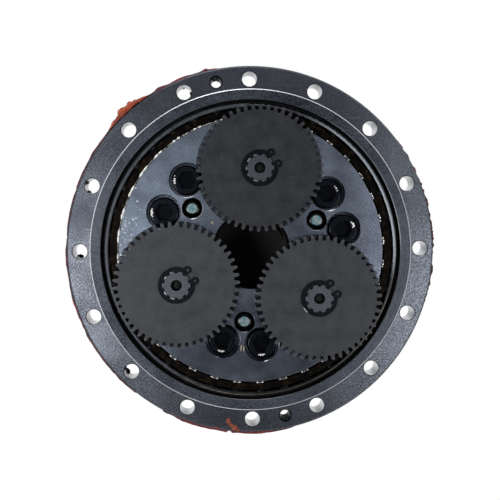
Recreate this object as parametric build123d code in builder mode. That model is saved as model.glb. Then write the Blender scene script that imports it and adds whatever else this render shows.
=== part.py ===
from build123d import *
import os
from math import acos, asin, cos, degrees, pi, radians, sin, sqrt, tan

# A two-stage cycloidal reduction gear for a robot joint, standing on its output
# face with the input side up. +Z is the main axis, towards the input side, and
# the origin is the centre of the output face. All sizes are millimetres.
#
# Three spur gears on splined crankshafts are driven by a pinion that the machine
# brings along its own axis. Each crankshaft swings two cycloid discs, whose lobes
# roll inside a ring of pins held by the case, which is the internal ring gear.
# The discs swing the carrier round: the output flange with its three posts and
# the hold flange bolted to them, running in the case on two rows of balls.

os.makedirs("parts", exist_ok=True)

# ---------------------------------------------------------------- gear data
ring_pin_count = 40
lobe_count = ring_pin_count - 1
ring_pin_radius = 4.0
pin_circle_radius = 82.0
eccentricity = 1.5
lobe_clearance = 0.15
lower_throw_angle = 90.0
arcs_per_lobe = 6

gear_teeth = 50
gear_module = 1.5
gear_shift = -0.9
gear_pressure_angle = 20.0
gear_thickness = 8.0
gear_tooth_angle = 2.1

# ---------------------------------------------------------------- heights
disc_thickness = 12.0
side_gap = 1.0
spigot_height = 5.0
flange_thickness = 22.0
gear_rise = 1.5
shaft_end_rise = 2.5

# ---------------------------------------------------------------- case
seat_clearance = 0.02
barrel_wall = 4.9
spigot_wall = 6.6
wall_step = 0.5
case_bolt_count = 16
case_bolt_offset = 6.3
case_bolt_hole_radius = 4.5
case_edge_margin = 8.0
jack_hole_radius = 3.4
jack_hole_angle = 101.25
flange_chamfer = 1.0
fine_chamfer = 0.5
barrel_fillet = 1.5
pin_end_gap = 0.2
groove_clearance = 0.03

# ---------------------------------------------------------------- main bearings
ball_count = 36
ball_row_angle = 3.4
ball_radius = 4.75
groove_play = 0.19
ball_depth = 5.4
output_race_width = 15.0
race_recess = 0.4
race_wall = 8.1
rim_wall = 6.2
rim_bore = 3.2
rim_height = 5.6
rim_round = 1.2
shoulder_bore = 2.9
cage_inset = 1.7
cage_wall = 4.0
cage_length = 13.4
pocket_play = 0.2
flange_rim_inset = 2.5
low_land_inset = 3.6

# ---------------------------------------------------------------- output seal
seal_width = 6.0
seal_setback = 0.3
seal_race_gap = 0.7
seal_bore_step = 0.5
seal_land = 4.0
seal_skin = 2.2
seal_web = 2.0
lip_clearance = 0.1
lip_height = 3.2
lip_root_width = 4.3
lip_nose = 1.3
spring_wire_radius = 0.8
spring_clearance = 0.05

# ---------------------------------------------------------------- carrier
crank_circle_share = 0.599
crank_angle = 84.1
pilot_radius = 24.0
pilot_step = 1.7
pilot_depth = 5.0
plug_setback = 1.0
plug_thickness = 5.0
plug_wall = 2.5
plug_floor = 2.0
pocket_floor = 10.0
hold_lip = 3.0
hold_lip_radius = 17.8
hold_rim_chamfer = 0.4
carrier_bolt_share = 0.696
bolt_pair_land = 3.14
bolt_radius = 6.0
bolt_head_radius = 9.0
bolt_head_height = 12.0
bolt_head_round = 1.2
bolt_length = 30.0
bolt_hole_radius = 6.6
bolt_point_gap = 2.0
counterbore_radius = 10.2
counterbore_depth = 15.0
hex_across_flats = 10.0
hex_depth = 6.5
washer_thickness = 1.2
dowel_radius = 6.0
dowel_land = 1.0
dowel_sink = 1.4
dowel_end_radius = 2.9
dowel_crown = 1.8
dowel_bulge = 0.35
dowel_depth = 24.0
post_wall = 4.5
output_bolt_count = 12
output_bolt_share = 0.848
output_bolt_turn = 15.0
output_bolt_hole_radius = 3.4
output_bolt_depth = 12.0
hole_chamfer = 0.45

# ---------------------------------------------------------------- crankshafts
eccentric_radius = 15.0
web_radius = 13.3
collar_radius = 12.6
journal_radius = 10.0
journal_end_gap = 0.8
spline_count = 10
spline_tip_radius = 8.25
spline_root_radius = 7.25
spline_notch = 2.35
spline_play = 0.03
end_hole_radius = 2.85
end_hole_depth = 14.0
circlip_thickness = 1.2
circlip_radius = 10.9
circlip_groove_radius = 6.9
circlip_play = 0.05
circlip_opening = 33.0
circlip_gap_width = 3.4
ear_circle = 11.2
ear_radius = 2.4
ear_half_angle = 20.3
ear_hole_radius = 0.95
groove_cut_margin = 1.0

# ---------------------------------------------------------------- crank bearings
cup_radius = 20.0
cup_width = 14.0
taper_pitch_radius = 15.0
taper_axis_angle = 8.0
taper_half_angle = 1.4
taper_length = 9.0
taper_count = 14
taper_play = 0.12
cone_rib_height = 2.5
cone_rib_gap = 0.15
cone_end_rib = 0.9
cone_end_gap = 0.4
taper_cage_wall = 0.9
taper_cage_offset = 0.4
taper_cage_end = 1.2
taper_window_play = 0.15
shim_thickness = 1.5
shim_bore_radius = 14.0
cup_setback = 0.5
cup_ring_setback = 1.4
cup_ring_width = 1.6
cup_ring_bite = 1.2
cup_ring_bore = 17.6
cup_ring_gap = 9.0
thrust_washer_thickness = 1.2
thrust_washer_radius = 17.3
thrust_gap = 0.2

# ---------------------------------------------------------------- disc bearings
needle_radius = 2.0
needle_play = 0.1
needle_count = 18
needle_end_gap = 1.0
needle_cage_wall = 1.4
needle_cage_gap = 0.3
window_play = 0.12
disc_centre_step = 1.7
window_clearance = 1.0

# ---------------------------------------------------------------- worked out
crank_circle_radius = pin_circle_radius * crank_circle_share
carrier_bolt_circle = pin_circle_radius * carrier_bolt_share
output_bolt_circle = pin_circle_radius * output_bolt_share
bolt_pair_reach = counterbore_radius + bolt_pair_land / 2
carrier_bolt_half_angle = degrees(asin(bolt_pair_reach / carrier_bolt_circle))
dowel_bolt_distance = counterbore_radius + dowel_radius + dowel_land
dowel_circle = (
    sqrt(carrier_bolt_circle**2 - bolt_pair_reach**2)
    - sqrt(dowel_bolt_distance**2 - bolt_pair_reach**2)
)
centre_bore_radius = pilot_radius - pilot_step
disc_centre_radius = centre_bore_radius + disc_centre_step

output_plate = pocket_floor + shim_thickness + cup_width + cup_setback
hold_plate = hold_lip + cup_width + cup_ring_width + cup_ring_setback
lower_disc_z = output_plate + side_gap
upper_disc_z = lower_disc_z + disc_thickness + side_gap
hold_z = upper_disc_z + disc_thickness + side_gap
hold_top = hold_z + hold_plate
flange_top = hold_top - spigot_height
flange_bottom = flange_top - flange_thickness
gear_z = hold_top + gear_rise
gear_top = gear_z + gear_thickness
shaft_top = gear_top + shaft_end_rise

ball_pitch_radius = pin_circle_radius
groove_radius = ball_radius + groove_play
race_seat_radius = ball_pitch_radius + race_wall
flange_rim_radius = ball_pitch_radius - flange_rim_inset
low_land_radius = ball_pitch_radius - low_land_inset
seal_land_radius = flange_rim_radius - seal_land
barrel_radius = race_seat_radius + barrel_wall
spigot_radius = race_seat_radius + spigot_wall
case_bolt_circle = spigot_radius + case_bolt_offset
flange_radius = case_bolt_circle + case_edge_margin
case_wall_radius = pin_circle_radius + wall_step

input_ball_z = hold_top - ball_depth
output_race_z = lower_disc_z - output_race_width
output_ball_z = output_race_z + ball_depth - race_recess
rim_face_z = output_ball_z - ball_depth
seal_z = output_race_z - seal_race_gap - seal_width
case_foot_z = seal_z - seal_setback

needle_circle = eccentric_radius + needle_radius
disc_bore_radius = eccentric_radius + 2 * needle_radius
input_bearing_z = hold_z + hold_lip
output_bearing_z = pocket_floor + shim_thickness + cup_width
taper_apex = cup_width / 2 + taper_pitch_radius / tan(radians(taper_axis_angle))

post_angles = [crank_angle + 60 + 120 * k for k in range(3)]
main_axis = Axis.Z


def polar(radius, angle):
    """The point at a radius and an angle in degrees from +X."""
    return (radius * cos(radians(angle)), radius * sin(radians(angle)))


def beside(centre, radius, angle):
    """The point at a radius and an angle from another point."""
    step = polar(radius, angle)
    return (centre[0] + step[0], centre[1] + step[1])


cranks = {"abc"[k]: polar(crank_circle_radius, crank_angle + 120 * k) for k in range(3)}
throws = {
    "lower": (lower_disc_z, lower_throw_angle),
    "upper": (upper_disc_z, lower_throw_angle + 180),
}


def upright(centre=(0, 0)):
    """The drawing plane of a turned piece: local X is the radius, local Y the height."""
    return Plane(origin=(*centre, 0), x_dir=(1, 0, 0), z_dir=(0, -1, 0))


def turned(outline):
    """A ring or disc turned about the main axis from (radius, height) corners."""
    with BuildPart() as piece:
        with BuildSketch(upright()):
            with BuildLine():
                Polyline(*outline, close=True)
            make_face()
        revolve(axis=main_axis)
    return piece.part


def save(part, name):
    """Name a finished piece and write it to its own file."""
    part.label = name
    export_step(part, f"parts/{name}.step")


def groove_rise(radius):
    """How far above the ball's centre a raceway groove meets a given radius."""
    return sqrt(groove_radius**2 - (ball_pitch_radius - radius) ** 2)


# ================================================================ case
with BuildPart() as ring_gear_case:
    with BuildSketch(upright()):
        with BuildLine():
            Polyline(
                (barrel_radius, case_foot_z),
                (barrel_radius, flange_bottom),
                (flange_radius, flange_bottom),
                (flange_radius, flange_top),
                (spigot_radius, flange_top),
                (spigot_radius, hold_top),
                (race_seat_radius, hold_top),
                (race_seat_radius, hold_z),
                (case_wall_radius, hold_z),
                (case_wall_radius, lower_disc_z),
                (race_seat_radius, lower_disc_z),
                (race_seat_radius, output_race_z),
                (race_seat_radius + seal_bore_step, output_race_z),
                (race_seat_radius + seal_bore_step, case_foot_z),
                close=True,
            )
        make_face()
    revolve(axis=main_axis)

    rims = edges().filter_by(GeomType.CIRCLE)
    flange_edges = rims.filter_by(lambda e: abs(e.radius - flange_radius) < 0.01)
    chamfer(flange_edges, length=flange_chamfer)
    top_edges = edges().filter_by(GeomType.CIRCLE).group_by(Axis.Z)[-1]
    chamfer(top_edges, length=fine_chamfer)
    bottom_edges = edges().filter_by(GeomType.CIRCLE).group_by(Axis.Z)[0]
    chamfer(bottom_edges, length=fine_chamfer)
    inner_corner = edges().filter_by(GeomType.CIRCLE).filter_by(
        lambda e: abs(e.radius - barrel_radius) < 0.01
        and abs(e.center().Z - flange_bottom) < 0.01
    )
    fillet(inner_corner, radius=barrel_fillet)

    # half-round grooves for the ring pins
    with BuildSketch(Plane.XY.offset(lower_disc_z)):
        with PolarLocations(pin_circle_radius, ring_pin_count):
            Circle(ring_pin_radius + groove_clearance)
    extrude(amount=hold_z - lower_disc_z, mode=Mode.SUBTRACT)

    # mounting bolt holes, and two tapped holes for jacking the case out
    with BuildSketch(Plane.XY.offset(flange_bottom)):
        with PolarLocations(case_bolt_circle, case_bolt_count, start_angle=90):
            Circle(case_bolt_hole_radius)
        with PolarLocations(case_bolt_circle, 2, start_angle=jack_hole_angle):
            Circle(jack_hole_radius)
    extrude(amount=flange_thickness, mode=Mode.SUBTRACT)
    mouths = edges().filter_by(GeomType.CIRCLE).filter_by(
        lambda e: e.radius < case_bolt_hole_radius + 0.1 and e.center().Z > flange_bottom - 1
    )
    hole_mouths = mouths.filter_by(
        lambda e: abs(e.center().Z - flange_top) < 0.01
        or abs(e.center().Z - flange_bottom) < 0.01
    )
    chamfer(hole_mouths, length=hole_chamfer)
save(ring_gear_case.part, "ring_gear_case")

with BuildPart() as ring_pins:
    with BuildSketch(Plane.XY.offset(lower_disc_z + pin_end_gap)):
        with PolarLocations(pin_circle_radius, ring_pin_count):
            Circle(ring_pin_radius)
    extrude(amount=hold_z - lower_disc_z - 2 * pin_end_gap)
save(ring_pins.part, "ring_pins")


# ================================================================ main bearings
def outer_race(back_z, ball_z, side):
    """An outer race pressed into the case. Its rim stands towards side, +1 up or -1 down."""
    face_z = ball_z + side * (ball_depth - race_recess)
    step_z = face_z - side * rim_height
    outside = race_seat_radius - seat_clearance
    rim_outside = ball_pitch_radius + rim_wall
    rim_inside = ball_pitch_radius + rim_bore
    shoulder = ball_pitch_radius + shoulder_bore
    rim_end = (rim_inside, ball_z + side * groove_rise(rim_inside))
    shoulder_end = (shoulder, ball_z - side * groove_rise(shoulder))
    with BuildPart() as race:
        with BuildSketch(upright()):
            with BuildLine():
                ThreePointArc(rim_end, (ball_pitch_radius + groove_radius, ball_z), shoulder_end)
                Polyline(
                    shoulder_end,
                    (shoulder, back_z),
                    (outside, back_z),
                    (outside, step_z),
                    (rim_outside, step_z),
                    (rim_outside, face_z),
                    (rim_inside, face_z),
                    rim_end,
                )
            make_face()
        revolve(axis=main_axis)
        rim = edges().filter_by(GeomType.CIRCLE).filter_by(
            lambda e: abs(e.center().Z - face_z) < 0.01
        )
        fillet(rim, radius=rim_round)
    return race.part


def ball_cage(ball_z, side):
    """A turned cage with one round pocket for each ball, its solid rim towards side."""
    inside = ball_pitch_radius - cage_inset
    face_z = ball_z + side * ball_depth
    with BuildPart() as cage:
        with BuildSketch(Plane.XY.offset(min(face_z, face_z - side * cage_length))):
            Circle(inside + cage_wall)
            Circle(inside, mode=Mode.SUBTRACT)
        extrude(amount=cage_length)
        with Locations((0, 0, ball_z)):
            with PolarLocations(ball_pitch_radius, ball_count, start_angle=ball_row_angle):
                Cylinder(
                    ball_radius + pocket_play,
                    4 * cage_wall,
                    rotation=(0, 90, 0),
                    mode=Mode.SUBTRACT,
                )
    return cage.part


def ball_row(ball_z):
    """One row of balls round the main axis."""
    with BuildPart() as row:
        with Locations((0, 0, ball_z)):
            with PolarLocations(ball_pitch_radius, ball_count, start_angle=ball_row_angle):
                Sphere(ball_radius)
    return row.part


save(outer_race(hold_z, input_ball_z, 1), "input_outer_race")
save(outer_race(lower_disc_z, output_ball_z, -1), "output_outer_race")
save(ball_cage(input_ball_z, 1), "input_ball_cage")
save(ball_cage(output_ball_z, -1), "output_ball_cage")
save(ball_row(input_ball_z), "input_balls")
save(ball_row(output_ball_z), "output_balls")

# ================================================================ output seal
seal_outside = race_seat_radius + seal_bore_step - seat_clearance
lip_radius = seal_land_radius + lip_clearance
seal_end_z = seal_z + seal_width
output_oil_seal = turned(
    [
        (seal_outside, seal_z),
        (seal_outside, seal_end_z),
        (seal_outside - seal_skin, seal_end_z),
        (seal_outside - seal_skin, seal_z + seal_web),
        (lip_radius + lip_root_width, seal_z + seal_web),
        (lip_radius + lip_root_width, seal_end_z - fine_chamfer),
        (lip_radius + lip_nose, seal_end_z - fine_chamfer),
        (lip_radius, seal_z + lip_height),
        (lip_radius + lip_nose, seal_z),
    ]
)
save(output_oil_seal, "output_oil_seal")

with BuildPart() as seal_garter_spring:
    spring_circle = lip_radius + lip_root_width + spring_clearance + spring_wire_radius
    with BuildSketch(upright()):
        with Locations((spring_circle, seal_end_z - 2 * spring_wire_radius)):
            Circle(spring_wire_radius)
    revolve(axis=main_axis)
save(seal_garter_spring.part, "seal_garter_spring")


# ================================================================ carrier
def post_face(grow):
    """The outlines of the three posts, each a hull round two bolts and a dowel."""
    faces = []
    for angle in post_angles:
        with BuildSketch() as outline:
            for step in (-carrier_bolt_half_angle, carrier_bolt_half_angle):
                with Locations(polar(carrier_bolt_circle, angle + step)):
                    Circle(bolt_radius + post_wall + grow)
            with Locations(polar(dowel_circle, angle)):
                Circle(dowel_radius + post_wall / 2 + grow)
            make_hull()
        faces.append(outline.sketch)
    return faces


bolt_places = [
    polar(carrier_bolt_circle, angle + step)
    for angle in post_angles
    for step in (-carrier_bolt_half_angle, carrier_bolt_half_angle)
]
dowel_places = [polar(dowel_circle, angle) for angle in post_angles]
post_outlines = post_face(0)
window_outlines = post_face(eccentricity + window_clearance)
head_seat_z = hold_top - counterbore_depth
bolt_head_z = head_seat_z + washer_thickness
bolt_end_z = bolt_head_z - bolt_length

with BuildPart() as hold_flange:
    with BuildSketch(upright()):
        groove_top = (flange_rim_radius, input_ball_z + groove_rise(flange_rim_radius))
        groove_foot = (low_land_radius, input_ball_z - groove_rise(low_land_radius))
        with BuildLine():
            ThreePointArc(
                groove_top, (ball_pitch_radius - groove_radius, input_ball_z), groove_foot
            )
            Polyline(
                groove_foot,
                (low_land_radius, hold_z),
                (centre_bore_radius, hold_z),
                (centre_bore_radius, hold_top),
                (flange_rim_radius - hold_rim_chamfer, hold_top),
                (flange_rim_radius, hold_top - hold_rim_chamfer),
                groove_top,
            )
        make_face()
    revolve(axis=main_axis)

    # crank bearing bores, each with a lip under the cup and a groove for its ring
    with BuildSketch(Plane.XY.offset(hold_z)):
        with Locations(*cranks.values()):
            Circle(hold_lip_radius)
    extrude(amount=hold_plate, mode=Mode.SUBTRACT)
    with BuildSketch(Plane.XY.offset(input_bearing_z)):
        with Locations(*cranks.values()):
            Circle(cup_radius + seat_clearance)
    extrude(amount=hold_plate, mode=Mode.SUBTRACT)
    with BuildSketch(Plane.XY.offset(input_bearing_z + cup_width)):
        with Locations(*cranks.values()):
            Circle(cup_radius + cup_ring_bite)
    extrude(amount=cup_ring_width + circlip_play, mode=Mode.SUBTRACT)

    # bolts in deep counterbores, and through holes for the dowels
    with Locations(*[(*place, hold_top) for place in bolt_places]):
        CounterBoreHole(bolt_hole_radius, counterbore_radius, counterbore_depth, hold_plate)
    with Locations(*[(*place, hold_top) for place in dowel_places]):
        Hole(dowel_radius + seat_clearance, hold_plate)
    top_rims = edges().filter_by(GeomType.CIRCLE).group_by(Axis.Z)[-1]
    small_rims = top_rims.filter_by(lambda e: e.radius < flange_rim_radius - 1)
    chamfer(small_rims, length=hole_chamfer)
save(hold_flange.part, "hold_flange")

with BuildPart() as output_flange:
    with BuildSketch(upright()):
        groove_foot = (flange_rim_radius, output_ball_z - groove_rise(flange_rim_radius))
        groove_top = (low_land_radius, output_ball_z + groove_rise(low_land_radius))
        with BuildLine():
            ThreePointArc(
                groove_foot, (ball_pitch_radius - groove_radius, output_ball_z), groove_top
            )
            Polyline(
                groove_top,
                (low_land_radius, output_plate),
                (centre_bore_radius, output_plate),
                (centre_bore_radius, pilot_depth),
                (pilot_radius, pilot_depth),
                (pilot_radius, 0),
                (seal_land_radius, 0),
                (seal_land_radius, rim_face_z),
                (flange_rim_radius, rim_face_z),
                groove_foot,
            )
        make_face()
    revolve(axis=main_axis)
    foot_rims = edges().filter_by(GeomType.CIRCLE).group_by(Axis.Z)[0]
    chamfer(foot_rims, length=fine_chamfer)

    # three posts that reach through the discs to the hold flange
    with BuildSketch(Plane.XY.offset(output_plate)):
        for outline in post_outlines:
            add(outline)
    extrude(amount=hold_z - output_plate)

    # blind pockets for the output-side crank bearings
    with BuildSketch(Plane.XY.offset(pocket_floor)):
        with Locations(*cranks.values()):
            Circle(cup_radius + seat_clearance)
    extrude(amount=output_plate - pocket_floor, mode=Mode.SUBTRACT)

    # tapped holes in the post tops, dowel holes, and tapped holes in the output face
    with Locations(*[(*place, hold_z) for place in bolt_places]):
        Hole(bolt_radius + seat_clearance, hold_z - bolt_end_z + bolt_point_gap)
    with Locations(*[(*place, hold_z) for place in dowel_places]):
        Hole(dowel_radius + seat_clearance, dowel_depth)
    with BuildSketch(Plane.XY):
        first_bolt = crank_angle + output_bolt_turn
        with PolarLocations(output_bolt_circle, output_bolt_count, start_angle=first_bolt):
            Circle(output_bolt_hole_radius)
    extrude(amount=output_bolt_depth, mode=Mode.SUBTRACT)
    face_holes = edges().filter_by(GeomType.CIRCLE).group_by(Axis.Z)[0]
    small_holes = face_holes.filter_by(lambda e: e.radius < output_bolt_hole_radius + 0.1)
    chamfer(small_holes, length=hole_chamfer)
save(output_flange.part, "output_flange")

with BuildPart() as carrier_bolts:
    with BuildSketch(Plane.XY.offset(bolt_end_z)):
        with Locations(*bolt_places):
            Circle(bolt_radius)
    extrude(amount=bolt_length)
    chamfer(edges().filter_by(GeomType.CIRCLE).group_by(Axis.Z)[0], length=fine_chamfer)
    with BuildSketch(Plane.XY.offset(bolt_head_z)):
        with Locations(*bolt_places):
            Circle(bolt_head_radius)
    extrude(amount=bolt_head_height)
    fillet(edges().filter_by(GeomType.CIRCLE).group_by(Axis.Z)[-1], radius=bolt_head_round)
    with BuildSketch(Plane.XY.offset(bolt_head_z + bolt_head_height)):
        with Locations(*bolt_places):
            RegularPolygon(hex_across_flats / 2, 6, major_radius=False)
    extrude(amount=-hex_depth, mode=Mode.SUBTRACT)
save(carrier_bolts.part, "carrier_bolts")

with BuildPart() as bolt_washers:
    with BuildSketch(Plane.XY.offset(head_seat_z)):
        with Locations(*bolt_places):
            Circle(bolt_head_radius)
            Circle(bolt_radius + seat_clearance, mode=Mode.SUBTRACT)
    extrude(amount=washer_thickness)
save(bolt_washers.part, "bolt_washers")

with BuildPart() as dowel_pins:
    dowel_foot = hold_z - dowel_depth + fine_chamfer
    dowel_top = hold_top - dowel_sink
    dowel_middle = (dowel_radius + dowel_end_radius) / 2
    for place in dowel_places:
        with BuildSketch(upright(place)):
            with BuildLine():
                Polyline(
                    (0, dowel_top),
                    (0, dowel_foot),
                    (dowel_radius - fine_chamfer, dowel_foot),
                    (dowel_radius, dowel_foot + fine_chamfer),
                    (dowel_radius, dowel_top - dowel_crown),
                )
                ThreePointArc(
                    (dowel_radius, dowel_top - dowel_crown),
                    (dowel_middle + dowel_bulge, dowel_top - dowel_crown / 3),
                    (dowel_end_radius, dowel_top),
                )
                Line((dowel_end_radius, dowel_top), (0, dowel_top))
            make_face()
        revolve(axis=Axis((*place, 0), (0, 0, 1)))
save(dowel_pins.part, "dowel_pins")

plug_z = pilot_depth + plug_setback
centre_plug = turned(
    [
        (0, plug_z + plug_thickness),
        (centre_bore_radius - seat_clearance, plug_z + plug_thickness),
        (centre_bore_radius - seat_clearance, plug_z),
        (centre_bore_radius - plug_wall, plug_z),
        (centre_bore_radius - plug_wall, plug_z + plug_thickness - plug_floor),
        (0, plug_z + plug_thickness - plug_floor),
    ]
)
save(centre_plug, "centre_plug")


# ================================================================ crank bearings
def taper_radius(height, angle):
    """Radius at a height of a cone that shares the bearing's apex."""
    return (taper_apex - height) * tan(radians(angle))


# One tapered roller bearing, with its axis on Z and its wide end at the origin.
cup_angle = taper_axis_angle + taper_half_angle
cone_angle = taper_axis_angle - taper_half_angle
crank_cup = turned(
    [
        (cup_radius, 0),
        (cup_radius, cup_width),
        (taper_radius(cup_width, cup_angle), cup_width),
        (taper_radius(0, cup_angle), 0),
    ]
)
lean = radians(taper_axis_angle)
wide_end = (taper_pitch_radius / sin(lean) + taper_length / 2) * tan(radians(taper_half_angle))
roller_foot = cup_width / 2 - taper_length / 2 * cos(lean) - wide_end * sin(lean)
roller_head = cup_width / 2 + taper_length / 2 * cos(lean)
rib_height = roller_foot - cone_rib_gap
end_rib_height = roller_head + cone_end_gap
rib_radius = taper_radius(0, cone_angle) + cone_rib_height
end_rib_radius = taper_radius(cup_width, cone_angle) + cone_end_rib
crank_cone = turned(
    [
        (journal_radius + seat_clearance, 0),
        (rib_radius, 0),
        (rib_radius, rib_height),
        (taper_radius(rib_height, cone_angle), rib_height),
        (taper_radius(end_rib_height, cone_angle), end_rib_height),
        (end_rib_radius, end_rib_height),
        (end_rib_radius, cup_width),
        (journal_radius + seat_clearance, cup_width),
    ]
)


def taper_blank(grow, extra):
    """One tapered roller leaning towards the apex, fatter by grow and longer by extra."""
    middle = taper_pitch_radius / sin(lean)
    near = middle - taper_length / 2 - extra
    far = middle + taper_length / 2 + extra
    narrow = near * tan(radians(taper_half_angle)) + grow
    wide = far * tan(radians(taper_half_angle)) + grow
    # along runs from the apex down to the rollers
    along = Plane(
        origin=(0, 0, taper_apex), x_dir=(cos(lean), 0, sin(lean)), z_dir=(0, -1, 0)
    )
    with BuildPart() as blank:
        with BuildSketch(along):
            with BuildLine():
                Polyline((0, -near), (0, -far), (wide, -far), (narrow, -near), close=True)
            make_face()
        revolve(axis=Axis((0, 0, taper_apex), (sin(lean), 0, -cos(lean))))
    return blank.part


taper_roller = taper_blank(-taper_play, 0)
taper_window = taper_blank(window_play - taper_play, taper_window_play)


def cage_line(height, offset):
    """Radius of the taper cage's wall, parallel to the rollers' axes."""
    return taper_pitch_radius + (cup_width / 2 - height) * tan(lean) + offset


cage_low = taper_cage_end
cage_high = cup_width - taper_cage_end
with BuildPart() as taper_rollers:
    with PolarLocations(0, taper_count):
        add(taper_roller)
with BuildPart() as taper_cage:
    with BuildSketch(upright()):
        with BuildLine():
            Polyline(
                (cage_line(cage_low, taper_cage_offset), cage_low),
                (cage_line(cage_low, taper_cage_offset + taper_cage_wall), cage_low),
                (cage_line(cage_high, taper_cage_offset + taper_cage_wall), cage_high),
                (cage_line(cage_high, taper_cage_offset), cage_high),
                close=True,
            )
        make_face()
    revolve(axis=main_axis)
    with PolarLocations(0, taper_count):
        add(taper_window, mode=Mode.SUBTRACT)


def bearing_seats(place):
    """The two seats of a crank's bearings: wide ends facing the discs."""
    return [
        Location((*place, input_bearing_z)),
        Location((*place, output_bearing_z), (180, 0, 0)),
    ]


with BuildPart() as input_bearing_cups:
    with Locations(*[bearing_seats(place)[0] for place in cranks.values()]):
        add(crank_cup)
save(input_bearing_cups.part, "input_bearing_cups")

with BuildPart() as output_bearing_cups:
    with Locations(*[bearing_seats(place)[1] for place in cranks.values()]):
        add(crank_cup)
save(output_bearing_cups.part, "output_bearing_cups")

with BuildPart() as cup_shims:
    with BuildSketch(Plane.XY.offset(pocket_floor)):
        with Locations(*cranks.values()):
            Circle(cup_radius)
            Circle(shim_bore_radius, mode=Mode.SUBTRACT)
    extrude(amount=shim_thickness)
save(cup_shims.part, "cup_shims")

with BuildPart() as cup_retaining_rings:
    with BuildSketch(Plane.XY.offset(input_bearing_z + cup_width)):
        for place in cranks.values():
            with Locations(place):
                Circle(cup_radius + cup_ring_bite - circlip_play)
                Circle(cup_ring_bore, mode=Mode.SUBTRACT)
            with Locations((place[0], place[1] - cup_radius)):
                Rectangle(cup_ring_gap, cup_radius, mode=Mode.SUBTRACT)
    extrude(amount=cup_ring_width)
save(cup_retaining_rings.part, "cup_retaining_rings")


# ================================================================ crankshafts
def splined(centre, tip, root, notch):
    """A splined outline round a point, drawn in the sketch that is open."""
    with Locations(centre):
        Circle(tip)
        with PolarLocations(tip, spline_count, start_angle=90):
            Rectangle(2 * (tip - root), notch, mode=Mode.SUBTRACT)
        Circle(root)


def involute(angle):
    """The involute function of an angle in radians."""
    return tan(angle) - angle


pitch_radius = gear_module * gear_teeth / 2
base_radius = pitch_radius * cos(radians(gear_pressure_angle))
gear_tip_radius = pitch_radius + gear_module * (1 + gear_shift)
gear_root_radius = pitch_radius - gear_module * (1.25 - gear_shift)
tooth_width = gear_module * (pi / 2 + 2 * gear_shift * tan(radians(gear_pressure_angle)))


def half_tooth(radius):
    """Half the angle in degrees that a tooth spans at a radius."""
    pressure = acos(min(1, base_radius / radius))
    half = tooth_width / (2 * pitch_radius)
    half += involute(radians(gear_pressure_angle)) - involute(pressure)
    return degrees(half)


def gear_outline(centre):
    """The gear's outline round a point: involute flanks, tip lands and round roots."""
    step = 360 / gear_teeth
    radii = (base_radius, (base_radius + gear_tip_radius) / 2, gear_tip_radius)
    for tooth in range(gear_teeth):
        middle = gear_tooth_angle + step * tooth
        rising = [beside(centre, r, middle - half_tooth(r)) for r in radii]
        falling = [beside(centre, r, middle + half_tooth(r)) for r in reversed(radii)]
        following = beside(centre, base_radius, middle + step - half_tooth(base_radius))
        ThreePointArc(*rising)
        ThreePointArc(rising[-1], beside(centre, gear_tip_radius, middle), falling[0])
        ThreePointArc(*falling)
        root = beside(centre, gear_root_radius, middle + step / 2)
        ThreePointArc(falling[-1], root, following)


circlip_levels = (gear_z - circlip_play - circlip_thickness, gear_top + circlip_play)
needle_length = disc_thickness - 2 * needle_end_gap
needle_cage_length = disc_thickness - 2 * needle_cage_gap
needle_cage_inside = needle_circle - needle_cage_wall / 2

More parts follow.
